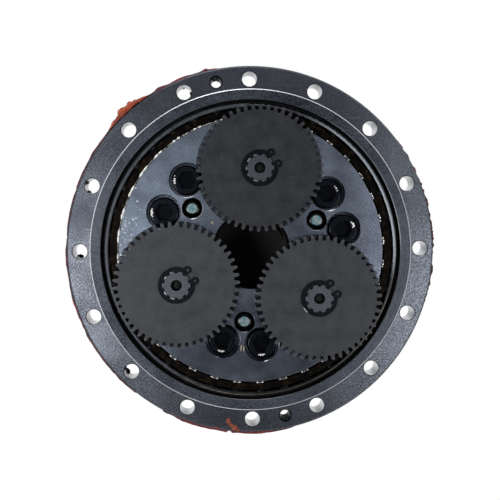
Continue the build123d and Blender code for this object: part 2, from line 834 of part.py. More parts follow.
for letter, place in cranks.items():
    crank_axis = Axis((*place, 0), (0, 0, 1))
    with BuildPart() as crankshaft:
        with BuildSketch(upright(place)):
            with BuildLine():
                foot = pocket_floor + journal_end_gap
                Polyline(
                    (0, foot),
                    (journal_radius - fine_chamfer, foot),
                    (journal_radius, foot + fine_chamfer),
                    (journal_radius, output_bearing_z),
                    (collar_radius, output_bearing_z),
                    (collar_radius, lower_disc_z),
                    (web_radius, lower_disc_z),
                    (web_radius, upper_disc_z + disc_thickness),
                    (collar_radius, upper_disc_z + disc_thickness),
                    (collar_radius, input_bearing_z),
                    (journal_radius, input_bearing_z),
                    (journal_radius, input_bearing_z + cup_width),
                    (spline_root_radius, input_bearing_z + cup_width),
                    (spline_root_radius, shaft_top),
                    (0, shaft_top),
                    close=True,
                )
            make_face()
        revolve(axis=crank_axis)
        for level, angle in throws.values():
            with BuildSketch(Plane.XY.offset(level)):
                with Locations(beside(place, eccentricity, angle)):
                    Circle(eccentric_radius)
            extrude(amount=disc_thickness)
        with BuildSketch(Plane.XY.offset(input_bearing_z + cup_width)):
            splined(place, spline_tip_radius, spline_root_radius, spline_notch)
        extrude(amount=shaft_top - input_bearing_z - cup_width)
        for level in circlip_levels:
            with BuildSketch(Plane.XY.offset(level - circlip_play)):
                with Locations(place):
                    Circle(spline_tip_radius + groove_cut_margin)
                    Circle(circlip_groove_radius, mode=Mode.SUBTRACT)
            extrude(amount=circlip_thickness + 2 * circlip_play, mode=Mode.SUBTRACT)
        with Locations((*place, shaft_top)):
            Hole(end_hole_radius, end_hole_depth)
        mouth = edges().filter_by(GeomType.CIRCLE).group_by(Axis.Z)[-1]
        chamfer(mouth.filter_by(lambda e: e.radius < end_hole_radius + 0.1), length=hole_chamfer)
    save(crankshaft.part, f"crankshaft_{letter}")

    with BuildPart() as spur_gear:
        with BuildSketch(Plane.XY.offset(gear_z)):
            with BuildLine():
                gear_outline(place)
            make_face()
        extrude(amount=gear_thickness)
        with BuildSketch(Plane.XY.offset(gear_z)):
            splined(
                place,
                spline_tip_radius + spline_play,
                spline_root_radius + spline_play,
                spline_notch - 2 * spline_play,
            )
        extrude(amount=gear_thickness, mode=Mode.SUBTRACT)
    save(spur_gear.part, f"spur_gear_{letter}")

    with BuildPart() as circlips:
        for level in circlip_levels:
            with BuildSketch(Plane.XY.offset(level)):
                ears = [
                    beside(place, ear_circle, circlip_opening + step)
                    for step in (-ear_half_angle, ear_half_angle)
                ]
                with Locations(place):
                    Circle(circlip_radius)
                with Locations(*ears):
                    Circle(ear_radius)
                with Locations(place):
                    Circle(circlip_groove_radius + circlip_play, mode=Mode.SUBTRACT)
                with Locations(*ears):
                    Circle(ear_hole_radius, mode=Mode.SUBTRACT)
                gap_middle = beside(place, ear_circle, circlip_opening)
                with Locations(Location((*gap_middle, 0), (0, 0, circlip_opening))):
                    Rectangle(4 * ear_radius, circlip_gap_width, mode=Mode.SUBTRACT)
            extrude(amount=circlip_thickness)
    save(circlips.part, f"gear_circlips_{letter}")

    with BuildPart() as cones:
        with Locations(*bearing_seats(place)):
            add(crank_cone)
    save(cones.part, f"crank_cones_{letter}")

    with BuildPart() as rollers:
        with Locations(*bearing_seats(place)):
            add(taper_rollers.part)
    save(rollers.part, f"taper_rollers_{letter}")

    with BuildPart() as cages:
        with Locations(*bearing_seats(place)):
            add(taper_cage.part)
    save(cages.part, f"taper_cages_{letter}")

    with BuildPart() as thrust_washers:
        washer_levels = (
            lower_disc_z - thrust_gap - thrust_washer_thickness,
            upper_disc_z + disc_thickness + thrust_gap,
        )
        for level in washer_levels:
            with BuildSketch(Plane.XY.offset(level)):
                with Locations(place):
                    Circle(thrust_washer_radius)
                    Circle(collar_radius + seat_clearance, mode=Mode.SUBTRACT)
            extrude(amount=thrust_washer_thickness)
    save(thrust_washers.part, f"thrust_washers_{letter}")

    for side, (level, angle) in throws.items():
        throw_centre = beside(place, eccentricity, angle)
        with BuildPart() as needles:
            with BuildSketch(Plane.XY.offset(level + needle_end_gap)):
                with Locations(throw_centre):
                    with PolarLocations(needle_circle, needle_count):
                        Circle(needle_radius - needle_play)
            extrude(amount=needle_length)
        save(needles.part, f"needle_rollers_{side}_{letter}")

        with BuildPart() as needle_cage:
            with BuildSketch(Plane.XY.offset(level + needle_cage_gap)):
                with Locations(throw_centre):
                    Circle(needle_cage_inside + needle_cage_wall)
                    Circle(needle_cage_inside, mode=Mode.SUBTRACT)
            extrude(amount=needle_cage_length)
            with BuildSketch(Plane.XY.offset(level + needle_end_gap - window_play)):
                with Locations(throw_centre):
                    with PolarLocations(needle_circle, needle_count):
                        Circle(needle_radius - needle_play + window_play)
            extrude(amount=needle_length + 2 * window_play, mode=Mode.SUBTRACT)
        save(needle_cage.part, f"needle_cage_{side}_{letter}")


# ================================================================ cycloid discs
def lobe_point(turn, spin):
    """A point of the disc's outline, with the disc turned by spin degrees.

    A pin's centre, seen from the disc, follows a shortened epitrochoid. The outline
    lies inside that curve by the pin's radius and the clearance.
    """
    arm = eccentricity * ring_pin_count
    slope_x = -pin_circle_radius * sin(turn) + arm * sin(ring_pin_count * turn)
    slope_y = pin_circle_radius * cos(turn) - arm * cos(ring_pin_count * turn)
    length = sqrt(slope_x**2 + slope_y**2)
    inset = (ring_pin_radius + lobe_clearance) / length
    x = pin_circle_radius * cos(turn) - eccentricity * cos(ring_pin_count * turn)
    y = pin_circle_radius * sin(turn) - eccentricity * sin(ring_pin_count * turn)
    return Vector(x - slope_y * inset, y + slope_x * inset).rotate(Axis.Z, spin)


for side, (level, angle) in throws.items():
    disc_centre = Vector(*polar(eccentricity, angle))
    # in mesh, a disc's lobes lag its throw by the throw's angle over the lobe count
    spin = -angle / lobe_count
    with BuildPart() as disc:
        with BuildSketch(Plane.XY.offset(level)):
            with BuildLine():
                for arc in range(lobe_count * arcs_per_lobe):
                    turns = [2 * pi * (arc + i / 2) / (lobe_count * arcs_per_lobe) for i in range(3)]
                    ThreePointArc(*[disc_centre + lobe_point(turn, spin) for turn in turns])
            make_face()
            with Locations(disc_centre):
                Circle(disc_centre_radius, mode=Mode.SUBTRACT)
                with PolarLocations(crank_circle_radius, 3, start_angle=crank_angle):
                    Circle(disc_bore_radius, mode=Mode.SUBTRACT)
            for outline in window_outlines:
                with Locations(disc_centre):
                    add(outline, mode=Mode.SUBTRACT)
        extrude(amount=disc_thickness)
    save(disc.part, f"cycloid_disc_{side}")
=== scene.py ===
# %% [markdown]
# # Dressing a cycloidal gear reducer
#
# The solids come ready made: a flanged case that is the internal ring gear, a carrier that turns
# inside it, three splined crankshafts with their spur gears, and every bearing in between. This
# lesson gives each of them a finish and adds what a machinist doesn't draw: old paint on the
# flange, white grease beads in the bearing gap that also stand in for the balls' glints, and the
# threads that the tapped holes have. Several finishes also carry painted light and shade.
#
# Everything is in metres. The main axis is Z, and the input side looks up.

# %% Load the solids
import math

import bmesh
import bpy
import numpy as np
from mathutils import Matrix, Vector


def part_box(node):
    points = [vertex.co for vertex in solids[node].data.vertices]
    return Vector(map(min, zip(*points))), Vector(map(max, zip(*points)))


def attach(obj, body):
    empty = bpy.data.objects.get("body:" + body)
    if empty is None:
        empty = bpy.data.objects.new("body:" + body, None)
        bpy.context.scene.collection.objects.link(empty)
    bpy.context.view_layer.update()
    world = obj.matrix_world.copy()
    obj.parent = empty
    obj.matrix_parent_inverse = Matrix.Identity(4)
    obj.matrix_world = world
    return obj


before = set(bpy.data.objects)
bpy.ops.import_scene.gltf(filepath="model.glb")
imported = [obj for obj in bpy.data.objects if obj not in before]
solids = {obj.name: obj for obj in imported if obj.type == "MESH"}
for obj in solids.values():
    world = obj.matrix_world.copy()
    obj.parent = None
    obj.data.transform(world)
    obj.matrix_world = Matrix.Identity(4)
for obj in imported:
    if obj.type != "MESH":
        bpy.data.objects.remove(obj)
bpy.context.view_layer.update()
MM = 0.001

# %% [markdown]
# ## The camera
#
# The reducer lies on its back and is looked at from straight above, from about 65 cm. A camera
# could be turned by three angles, but here it is simpler to say where it stands and what it looks
# at, and to work out its axes from that. It stands a little to one side, so the outer walls of
# the holes show and the gears shift slightly over the carrier.

# %% Place the camera
FRAME_PIXELS = 500
FOCAL_PIXELS = 1074.0
SENSOR_MM = 36.0
DISTANCE = 0.650
FACE_Z = 0.068  # height of the flange's face, which the camera is aimed at
AXIS_TIP = (42.0, -35.0)  # how far the line of sight leans, in pixels: to +X and to +Y
AIM = (-0.56, -0.07)  # X and Y, in millimetres, of the point in the middle of the frame
ROLL = math.radians(-0.5)

forward = Vector((AXIS_TIP[0] / FOCAL_PIXELS, AXIS_TIP[1] / FOCAL_PIXELS, -1.0)).normalized()
target = Vector((AIM[0] * MM, AIM[1] * MM, FACE_Z))
up = Vector((-math.sin(ROLL), math.cos(ROLL), 0.0))
back = -forward
right = up.cross(back).normalized()
turn = Matrix((right, back.cross(right), back)).transposed()

camera_data = bpy.data.cameras.new("camera")
camera_data.sensor_width = SENSOR_MM
camera_data.lens = FOCAL_PIXELS * SENSOR_MM / FRAME_PIXELS
camera = bpy.data.objects.new("camera", camera_data)
camera.matrix_world = Matrix.Translation(target - forward * DISTANCE) @ turn.to_4x4()
bpy.context.scene.collection.objects.link(camera)
bpy.context.scene.camera = camera
print("camera stands at", [round(c, 3) for c in camera.location])

# %% [markdown]
# ## Light and floor
#
# Machined steel is mostly a mirror, so its look comes from what stands round it. The room is a
# world shader that is pale at the horizon and darker overhead, so edges get bright lines while
# flat faces stay dark. It is also brighter toward one side, the way a room with a window is. Two
# soft boxes high on the left and right put a sheen on the flange, one low at the back lights the
# rim, and two small lamps in front and at the side give the small highlights. The floor is plain
# and pale: rays from the camera and from the steel see it as white, and it takes a faint shadow.

# %% Build the room
scene = bpy.context.scene
scene.view_settings.view_transform = "Standard"

world = bpy.data.worlds.new("room")
scene.world = world
world.use_nodes = True
room = world.node_tree
room.nodes.clear()


def add(tree, kind, values=None, links=None, **settings):
    """Put one node in a tree. values fills inputs, links joins sockets to inputs."""
    node = tree.nodes.new("ShaderNode" + kind)
    for name, value in settings.items():
        setattr(node, name, value)
    for name, value in (values or {}).items():
        node.inputs[name].default_value = value
    for name, socket in (links or {}).items():
        tree.links.new(socket, node.inputs[name])
    return node


WHITE = (1, 1, 1, 1)
SEEN_WHITE = 1.02  # a strength just over 1, so that the backdrop is pure white
WINDOW_SIDE = (-0.55, 0.85, 0.0)

direction = add(room, "TexCoord").outputs["Generated"]
height = add(room, "SeparateXYZ", links={0: direction}).outputs["Z"]
ceiling = add(room, "ValToRGB", links={0: height})
horizon, overhead = ceiling.color_ramp.elements
horizon.position, horizon.color = 0.12, (0.96, 0.97, 1.0, 1)
overhead.position, overhead.color = 0.80, (0.35, 0.36, 0.38, 1)
window = add(room, "VectorMath", {1: WINDOW_SIDE}, {0: direction}, operation="DOT_PRODUCT")
fall = {"From Min": -0.11, "From Max": 0.11, "To Min": 0.36, "To Max": 1.12}
shade = add(room, "MapRange", fall, {"Value": window.outputs["Value"]})
sky = add(room, "Background", links={"Color": ceiling.outputs[0], "Strength": shade.outputs[0]})
backdrop = add(room, "Background", {"Color": WHITE, "Strength": SEEN_WHITE})
from_camera = add(room, "LightPath").outputs["Is Camera Ray"]
seen = add(room, "MixShader", links={0: from_camera, 1: sky.outputs[0], 2: backdrop.outputs[0]})
room_out = room.nodes.new("ShaderNodeOutputWorld")
room.links.new(seen.outputs[0], room_out.inputs[0])
print("room built")

# %% Hang the lamps


def soft_box(title, azimuth, elevation, distance, size, watts):
    """A square lamp on a sphere round the reducer, facing its middle."""
    data = bpy.data.lights.new(title, "AREA")
    data.shape = "SQUARE"
    data.size = size
    data.energy = watts
    lamp = bpy.data.objects.new(title, data)
    a, e = math.radians(azimuth), math.radians(elevation)
    place = Vector((math.cos(a) * math.cos(e), math.sin(a) * math.cos(e), math.sin(e))) * distance
    lamp.matrix_world = Matrix.Translation(place) @ place.to_track_quat("Z", "Y").to_matrix().to_4x4()
    scene.collection.objects.link(lamp)


soft_box("left soft box", 191, 69, 1.3, 0.30, 6.0)
soft_box("right soft box", 341, 66, 1.3, 0.32, 3.5)
soft_box("back soft box", 98, 11, 1.4, 0.7, 6.0)
soft_box("front lamp", 258, 24, 1.3, 0.12, 1.5)
soft_box("side lamp", 188, 26, 1.3, 0.12, 1.5)

# %% Lay the floor
HALF = 3.0
DROP = -0.0003  # just under the output face, so the two never share a plane
SHARE_SEEN_WHITE = 0.96  # the rest is left to show the shadow

corners = [(-HALF, -HALF, DROP), (HALF, -HALF, DROP), (HALF, HALF, DROP), (-HALF, HALF, DROP)]
floor_mesh = bpy.data.meshes.new("floor")
floor_mesh.from_pydata(corners, [], [(0, 1, 2, 3)])
floor = bpy.data.objects.new("floor", floor_mesh)
scene.collection.objects.link(floor)

pale = bpy.data.materials.new("pale floor")
pale.use_nodes = True
tree = pale.node_tree
tree.nodes.clear()
rays = add(tree, "LightPath").outputs
direct = {0: rays["Is Camera Ray"], 1: rays["Is Glossy Ray"]}
camera_or_gloss = add(tree, "Math", links=direct, operation="MAXIMUM").outputs[0]
any_sight = {0: camera_or_gloss, 1: rays["Is Transmission Ray"]}
sight = add(tree, "Math", links=any_sight, operation="MAXIMUM").outputs[0]
share = add(tree, "Math", {1: SHARE_SEEN_WHITE}, {0: sight}, operation="MULTIPLY").outputs[0]
paper = add(tree, "BsdfDiffuse", {"Color": (0.9, 0.9, 0.9, 1)}).outputs[0]
white = add(tree, "Emission", {"Color": WHITE, "Strength": SEEN_WHITE}).outputs[0]
mixed = add(tree, "MixShader", links={0: share, 1: paper, 2: white})
tree.links.new(mixed.outputs[0], tree.nodes.new("ShaderNodeOutputMaterial").inputs[0])
floor_mesh.materials.append(pale)
print("floor laid")

# %% [markdown]
# ## Tools for finishes
#
# A finish is a small network: a noise for the grain, a ramp for its colours, and a bump for its
# relief. The helpers below each add one step and hand back its socket, so a finish reads like a
# recipe. Patterns are placed by Object coordinates, which are metres here, so a grain of 0.5 mm
# is a noise of scale 2000. Turned faces need rings: those come from a noise that is fed one
# number only, the distance from the axis that the piece was turned on.

# %% Start a finish and place its patterns


def finish(title, metallic=1.0, **sockets):
    """A Principled material. sockets are constants, such as coat_weight=0.3."""
    material = bpy.data.materials.new(title)
    material.use_nodes = True
    shader = material.node_tree.nodes["Principled BSDF"]
    shader.inputs["Metallic"].default_value = metallic
    for name, value in sockets.items():
        shader.inputs[name.replace("_", " ").title().replace("Ior", "IOR")].default_value = value
    return material, material.node_tree, shader


def dab(material, *titles):
    """Give the named solids a material."""
    for title in titles:
        mesh = solids[title].data
        mesh.materials.clear()
        mesh.materials.append(material)


def placed(tree, centre=(0, 0, 0), stretch=(1, 1, 1)):
    """Object coordinates with their origin at centre, then stretched."""
    where = add(tree, "TexCoord").outputs["Object"]
    offset = [-c * s for c, s in zip(centre, stretch)]
    return add(tree, "Mapping", {"Location": offset, "Scale": stretch}, {"Vector": where}).outputs[0]


def from_axis(tree, centre=(0, 0)):
    """Distance from an upright axis."""
    flat = placed(tree, (centre[0], centre[1], 0), (1, 1, 0))
    return add(tree, "VectorMath", links={0: flat}, operation="LENGTH").outputs["Value"]


def along(tree, where, direction):
    """Distance from the middle toward a direction."""
    step = add(tree, "VectorMath", {1: direction}, {0: where}, operation="DOT_PRODUCT")
    return step.outputs["Value"]


def height_of(tree, where):
    """The Z of a coordinate."""
    return add(tree, "SeparateXYZ", links={0: where}).outputs["Z"]


def on_circle(radius, *angles):
    """Points on a circle round the main axis."""
    return [(radius * math.cos(math.radians(a)), radius * math.sin(math.radians(a))) for a in angles]


def middle_of(title):
    """X and Y of the middle of a solid, seen from above."""
    low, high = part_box(title)
    return (low.x + high.x) / 2, (low.y + high.y) / 2


print("gear a stands at", [round(c / MM, 2) for c in middle_of("spur_gear_a")], "mm")

# %% Noises and sums


def grain(tree, where, size_mm, detail=2.0, roughness=0.5):
    """A noise whose lumps are about size_mm across."""
    values = {"Scale": 1000.0 / size_mm, "Detail": detail, "Roughness": roughness}
    return add(tree, "TexNoise", values, {"Vector": where}).outputs[0]


def rings(tree, distance, pitch_mm, detail=2.0):
    """A noise that changes only with the distance from an axis: lathe marks."""
    values = {"Scale": 1000.0 / pitch_mm, "Detail": detail}
    return add(tree, "TexNoise", values, {"W": distance}, noise_dimensions="1D").outputs[0]


def number(tree, operation, first, second=0.0):
    """One sum on two values, each a socket or a number."""
    node = add(tree, "Math", operation=operation)
    for slot, value in enumerate((first, second)):
        if isinstance(value, bpy.types.NodeSocket):
            tree.links.new(value, node.inputs[slot])
        else:
            node.inputs[slot].default_value = value
    return node.outputs[0]


def product(tree, first, second):
    """Two masks multiplied: 1 only where both are."""
    return number(tree, "MULTIPLY", first, second)


def either(tree, first, second):
    """The greater of two masks."""
    return number(tree, "MAXIMUM", first, second)


def weighed(tree, first, share, second):
    """Two noises mixed: share of the first, the rest of the second."""
    return number(tree, "ADD", product(tree, first, share), product(tree, second, 1 - share))


def scaled(tree, value, low, high, to_low=0.0, to_high=1.0):
    """The value moved from low..high to to_low..to_high, and kept inside."""
    values = {"From Min": low, "From Max": high, "To Min": to_low, "To Max": to_high}
    return add(tree, "MapRange", values, {"Value": value}).outputs[0]


print("a grain of 0.5 mm is a noise of scale", 1000.0 / 0.5)

# %% Masks


def within(tree, value, full, end, share=1.0):
    """share where the value is under full, fading to 0 at end."""
    return scaled(tree, value, full, end, share, 0.0)


def between(tree, value, low, high, soft=0.0002):
    """1 where the value lies from low to high, fading out over soft."""
    rising = scaled(tree, value, low - soft, low)
    falling = within(tree, value, high, high + soft)
    return product(tree, rising, falling)


def toward(tree, where, direction, start, full, share=1.0):
    """0 up to start in a direction, rising to share at full."""
    return scaled(tree, along(tree, where, direction), start, full, 0.0, share)


def lean(tree):
    """How far a face looks up or down: 1 when flat, 0 when upright."""
    normal = add(tree, "TexCoord").outputs["Normal"]
    return number(tree, "ABSOLUTE", height_of(tree, normal))


def upright_walls(tree):
    """1 on walls that stand upright, 0 on faces that look up or down."""
    return within(tree, lean(tree), 0.3, 0.6)


def chamfers(tree):
    """1 on edges that lean at about 45 degrees, 0 on flat faces and on walls."""
    from_half = number(tree, "ABSOLUTE", number(tree, "SUBTRACT", lean(tree), 0.7))
    return within(tree, from_half, 0.12, 0.2)


def scratches(tree, size_mm, stretch, least, most):
    """Thin straight marks: the peaks of a noise that is drawn out along one direction."""
    drawn_out = placed(tree, (0.013, 0.007, 0), stretch)
    return scaled(tree, grain(tree, drawn_out, size_mm, 1.0), least, most)


print("masks ready: each is 1 where it holds and fades to 0")

# %% Colour, gloss and relief
NOISE_LOW, NOISE_HIGH = 0.3, 0.7  # a noise hardly leaves this range


def linear(byte):
    """A 0-255 display value as linear light."""
    c = byte / 255.0
    return c / 12.92 if c <= 0.04045 else ((c + 0.055) / 1.055) ** 2.4


def colours(tree, value, *stops):
    """A colour ramp from (position, sRGB colour 0-255) stops."""
    node = add(tree, "ValToRGB", links={0: value})
    points = node.color_ramp.elements
    while len(points) < len(stops):
        points.new(0.5)
    for point, (position, colour) in zip(points, stops):
        point.position = position
        point.color = (*[linear(c) for c in colour], 1)
    return node.outputs[0]


def two_tone(tree, noise, dark, light):
    """A ramp over a noise's whole range."""
    return colours(tree, noise, (NOISE_LOW, dark), (NOISE_HIGH, light))


def blended(tree, share, first, second):
    """Colour first where share is 0, second where it is 1."""
    node = add(tree, "Mix", data_type="RGBA")
    tree.links.new(share, node.inputs[0])
    for slot, value in ((6, first), (7, second)):
        if isinstance(value, bpy.types.NodeSocket):
            tree.links.new(value, node.inputs[slot])
        else:
            node.inputs[slot].default_value = (*[linear(c) for c in value], 1)
    return node.outputs[2]


def colour_with(tree, shader, colour):
    """Lead a colour into the shader."""
    tree.links.new(colour, shader.inputs["Base Color"])


def gloss(tree, shader, noise, smoothest, roughest):
    """Let a noise move the shader's roughness between two ends."""
    rough = scaled(tree, noise, NOISE_LOW, NOISE_HIGH, smoothest, roughest)
    tree.links.new(rough, shader.inputs["Roughness"])


def relief(tree, shader, value, depth_mm):
    """Bump from a value, added to any bump the shader already has."""
    socket = shader.inputs["Normal"]
    node = add(tree, "Bump", {"Strength": 1.0, "Distance": depth_mm * MM}, {"Height": value})
    if socket.is_linked:
        tree.links.new(socket.links[0].from_socket, node.inputs["Normal"])
    tree.links.new(node.outputs[0], socket)


def speckled(title, size_mm, tones, rough, depth_mm, detail=3.0, lumps=0.5, fine=None, **sockets):
    """The plainest finish, all from one noise: its colours run through tones, which are a dark and
    a light one or the stops of a ramp, its roughness runs between the two ends of rough, and its
    relief is depth_mm deep. fine gives the relief a noise of its own, as grain's settings."""
    material, tree, shader = finish(title, **sockets)
    where = placed(tree)
    noise = grain(tree, where, size_mm, detail, lumps)
    ramp = two_tone(tree, noise, *tones) if len(tones) == 2 else colours(tree, noise, *tones)
    colour_with(tree, shader, ramp)
    gloss(tree, shader, noise, *rough)
    relief(tree, shader, grain(tree, where, *fine) if fine else noise, depth_mm)
    return material


print("mid grey, 128 of 255, is", round(linear(128), 3), "as linear light")

# %% [markdown]
# ## The case: ground steel
#
# The case is turned, hardened and ground. Its faces are a dark blue-grey, slightly mottled by oil
# and handling, with fine concentric marks. The walls of the bolt holes are bright, because
# nothing has touched them since the drill. One material can hold both: a mask finds the upright
# walls in the belt of the bolt circle and mixes the bright steel in there. So the colour is built
# up like paint, the flange's face first, and then the spigot, the holes and the edges over it.

# %% Colour the flange's face
BOLT_CIRCLE = 103.0  # millimetres, like all sizes of the new pieces
JACK_ANGLES = (101.25, 281.25)
UPPER_LEFT, UPPER_RIGHT = (-0.707, 0.707, 0), (0.707, 0.707, 0)
RIGHT, LOW_RIGHT, FRONT = (1, 0, 0), (0.95, -0.3, 0), (0, -1, 0)
CALM = 0.6  # how far the mottle is evened out near the middle line and on walls

material, tree, shader = finish("ground case steel")
where = placed(tree)
distance = from_axis(tree)
mottle = grain(tree, where, 0.7, 3.0, 0.75)
patchy = weighed(tree, mottle, 0.75, grain(tree, where, 26.0, 3.0, 0.55))
face = colours(tree, patchy, (0.40, (46, 49, 55)), (0.5, (71, 74, 81)), (0.61, (104, 108, 116)))
# Painted shade: the face is darker toward the upper left. Painted sheen: it is lighter toward the upper
# right.
upper_left_shade = toward(tree, where, UPPER_LEFT, 0.070, 0.105, 0.45)
face = blended(tree, upper_left_shade, face, (50, 54, 61))
painted_sheen = toward(tree, where, UPPER_RIGHT, 0.070, 0.105, 0.4)
face = blended(tree, painted_sheen, face, (106, 111, 120))
sideways = number(tree, "ABSOLUTE", along(tree, where, RIGHT))
middle_line = within(tree, sideways, 0.040, 0.085, CALM)
calm = either(tree, middle_line, product(tree, upright_walls(tree), CALM))
face = blended(tree, calm, face, (75, 78, 85))

# Stains on the bolt circle, by angle: strength and colour.
stains = {169: (0.6, (40, 44, 52)), 11: (0.4, (46, 50, 58)), 211: (0.3, (118, 124, 134))}
for angle, (strength, stain) in stains.items():
    (spot,) = on_circle(BOLT_CIRCLE * MM, angle)
    face = blended(tree, within(tree, from_axis(tree, spot), 0.006, 0.016, strength), face, stain)

marks_along_y = scratches(tree, 1.0, (1, 0.05, 1), 0.70, 0.78)
marks_along_x = scratches(tree, 1.0, (0.05, 1, 1), 0.71, 0.79)
marks = product(tree, either(tree, marks_along_y, marks_along_x), 0.5)
face = blended(tree, marks, face, (140, 145, 154))
frost = grain(tree, where, 1.1, 2.0, 0.7)
frost = colours(tree, frost, (0.42, (42, 45, 51)), (0.58, (100, 105, 114)))
face = blended(tree, toward(tree, where, LOW_RIGHT, 0.065, 0.095, 0.5), face, frost)
print("flange coloured, with", len(stains), "stains")

# %% Lay the spigot, the bolt holes and the bright edges over it
SPIGOT = 0.0967  # its outer radius
RACE_SEAT = 0.0901  # radius of the bore that the outer race sits in
BOLT_BELT = (0.0978, 0.1085)  # the ring that holds every bolt hole

spigot = within(tree, distance, SPIGOT - 0.0001, SPIGOT + 0.0001)
spigot_face = colours(tree, patchy, (0.43, (34, 37, 43)), (0.58, (74, 78, 86)))
lathe_marks = scaled(tree, rings(tree, distance, 1.0, 3.0), 0.42, 0.60)
# Painted sheen: the spigot's lathe marks are lighter toward the lower right.
lathe_sheen = product(tree, lathe_marks, toward(tree, where, LOW_RIGHT, 0.055, 0.090, 0.25))
spigot_face = blended(tree, lathe_sheen, spigot_face, (98, 101, 108))
case_skin = blended(tree, spigot, face, spigot_face)

drilled = two_tone(tree, mottle, (172, 174, 179), (222, 224, 228))
near_mouth = scaled(tree, height_of(tree, where), 0.050, FACE_Z, 0.0, 0.6)
drilled = blended(tree, near_mouth, drilled, (112, 114, 120))
bolt_holes = product(tree, between(tree, distance, *BOLT_BELT), upright_walls(tree))
case_skin = blended(tree, bolt_holes, case_skin, drilled)

# Painted highlights: bright lines on the chamfered edges of the spigot and of the race's seat, fainter
# toward the front on the seat.
spigot_edge = between(tree, distance, SPIGOT - 0.0007, SPIGOT + 0.0001)
seat_shine = scaled(tree, along(tree, where, FRONT), 0.03, 0.08, 0.45, 0.15)
seat_edge = between(tree, distance, RACE_SEAT - 0.0002, RACE_SEAT + 0.0007)
seat_edge = product(tree, seat_edge, seat_shine)
edges = product(tree, chamfers(tree), number(tree, "ADD", spigot_edge, seat_edge))
case_skin = blended(tree, edges, case_skin, (222, 225, 230))

# Painted shade: a dark ring round the mouth of each jacking hole, standing in for a shadowed countersink.
countersink_shades = 0.0
for jack_hole in on_circle(BOLT_CIRCLE * MM, *JACK_ANGLES):
    countersink_shade = within(tree, from_axis(tree, jack_hole), 0.0040, 0.0041, 0.9)
    countersink_shades = either(tree, countersink_shades, countersink_shade)
case_skin = blended(tree, countersink_shades, case_skin, (16, 17, 19))
# Painted shade: everything inside the race's seat, down in the deep narrow groove, is painted dark.
inside = between(tree, distance, 0.0800, RACE_SEAT + 0.00005, 0.00005)
colour_with(tree, shader, blended(tree, inside, case_skin, (10, 11, 12)))

ground_gloss = scaled(tree, patchy, 0.35, 0.65, 0.23, 0.33)
rough = number(tree, "ADD", ground_gloss, product(tree, spigot, 0.15))
tree.links.new(rough, shader.inputs["Roughness"])
relief(tree, shader, rings(tree, distance, 0.35), 0.003)
relief(tree, shader, grain(tree, where, 0.5), 0.006)
dab(material, "ring_gear_case")
print("case finished:", len(tree.nodes), "shader nodes")

# %% [markdown]
# ## The carrier: ground and greasy
#
# The hold flange is a finer ground face than the case, brighter, and wet with a film of oil, so
# it mirrors the gear teeth above it. A coat layer over the metal gives that wet mirror, and a
# broad noise in the roughness makes the film uneven. The face is painted lighter toward the upper
# left and darker toward the lower right, as light and shade, and darkest just round the gears'
# teeth, as their painted shadow and reflection.

# %% Finish the carrier
CENTRE_BORE = 0.0223
HUB = 0.0300  # whatever shows through the centre bore lies inside this radius
HOLD_FLANGE_FOOT = 0.0530
CARRIER_RIM = 0.0795
WELLS = (HUB, 0.0775)  # the ring that holds the counterbores and the crank bores

material, tree, shader = finish("carrier steel", coat_weight=0.35, coat_roughness=0.04)
where = placed(tree)
distance = from_axis(tree)
film = grain(tree, where, 20.0)
patchy = weighed(tree, film, 0.2, grain(tree, where, 0.8, 3.0, 0.65))
# Painted light and shade: a lit and a shaded copy of the oil film, lighter toward the upper left.
lit_film = colours(tree, patchy, (0.35, (106, 116, 130)), (0.65, (141, 152, 168)))
shaded_film = colours(tree, patchy, (0.35, (80, 85, 97)), (0.65, (106, 112, 125)))
upper_left_light = toward(tree, where, (-0.5, 0.86, 0), -0.055, 0.045)
face = blended(tree, upper_left_light, shaded_film, lit_film)

# Painted shadow and reflection of the gears' teeth: the face is darkest just round each gear.
teeth_shadow = 0.0
for letter in "abc":
    low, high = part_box(f"spur_gear_{letter}")
    tips = (high.x - low.x) / 2
    away = from_axis(tree, middle_of(f"spur_gear_{letter}"))
    teeth_shadow = either(tree, teeth_shadow, within(tree, away, tips, tips + 0.0003, 0.8))
face = blended(tree, teeth_shadow, face, (22, 26, 34))

# Painted highlights: a bright line on the carrier's rim, and half as bright on its chamfers.
rim = between(tree, distance, CARRIER_RIM - 0.0004, CARRIER_RIM + 0.0005, 0.0001)
edges = either(tree, product(tree, chamfers(tree), 0.5), rim)
carrier_skin = blended(tree, edges, face, (200, 204, 212))
# Painted shade: the bore walls, the counterbores and crank bores, and what shows through the centre bore
# are painted dark.
under = within(tree, height_of(tree, where), HOLD_FLANGE_FOOT - 0.0004, HOLD_FLANGE_FOOT - 0.0002)
below = product(tree, under, within(tree, distance, HUB - 0.0015, HUB))
bore_wall = within(tree, distance, CENTRE_BORE + 0.0011, CENTRE_BORE + 0.0013)
wells = product(tree, upright_walls(tree), between(tree, distance, *WELLS))
dark = either(tree, either(tree, bore_wall, below), product(tree, wells, 0.95))
colour_with(tree, shader, blended(tree, dark, carrier_skin, (10, 10, 12)))
gloss(tree, shader, film, 0.16, 0.25)
relief(tree, shader, rings(tree, distance, 0.25), 0.0008)
relief(tree, shader, grain(tree, where, 3.0), 0.004)
dab(material, "hold_flange", "output_flange")
print("carrier finished:", len(tree.nodes), "shader nodes")

# %% [markdown]
# ## Spur gears and shaft ends
#
# The gears are case hardened and phosphated: matte, dark grey, and worn a little brighter
# on the teeth. Each gear needs its rings centred on its own shaft, so the same recipe is made
# three times, once for each letter, with the shaft's place read from the solid's box. A small
# table scales each gear's colour: gear a, at the top, is painted darker as shade, and gear c a
# touch darker.

# %% Finish the gears
# Painted shade: gear a is painted darker than the others.
GEAR_SHADES = {"a": 0.84, "b": 1.0, "c": 0.98}
GEAR_GREYS = ((49, 50, 53), (64, 66, 69))
TEETH = (0.0353, 0.0366)  # wear sets in a little above the roots and is full below the tips

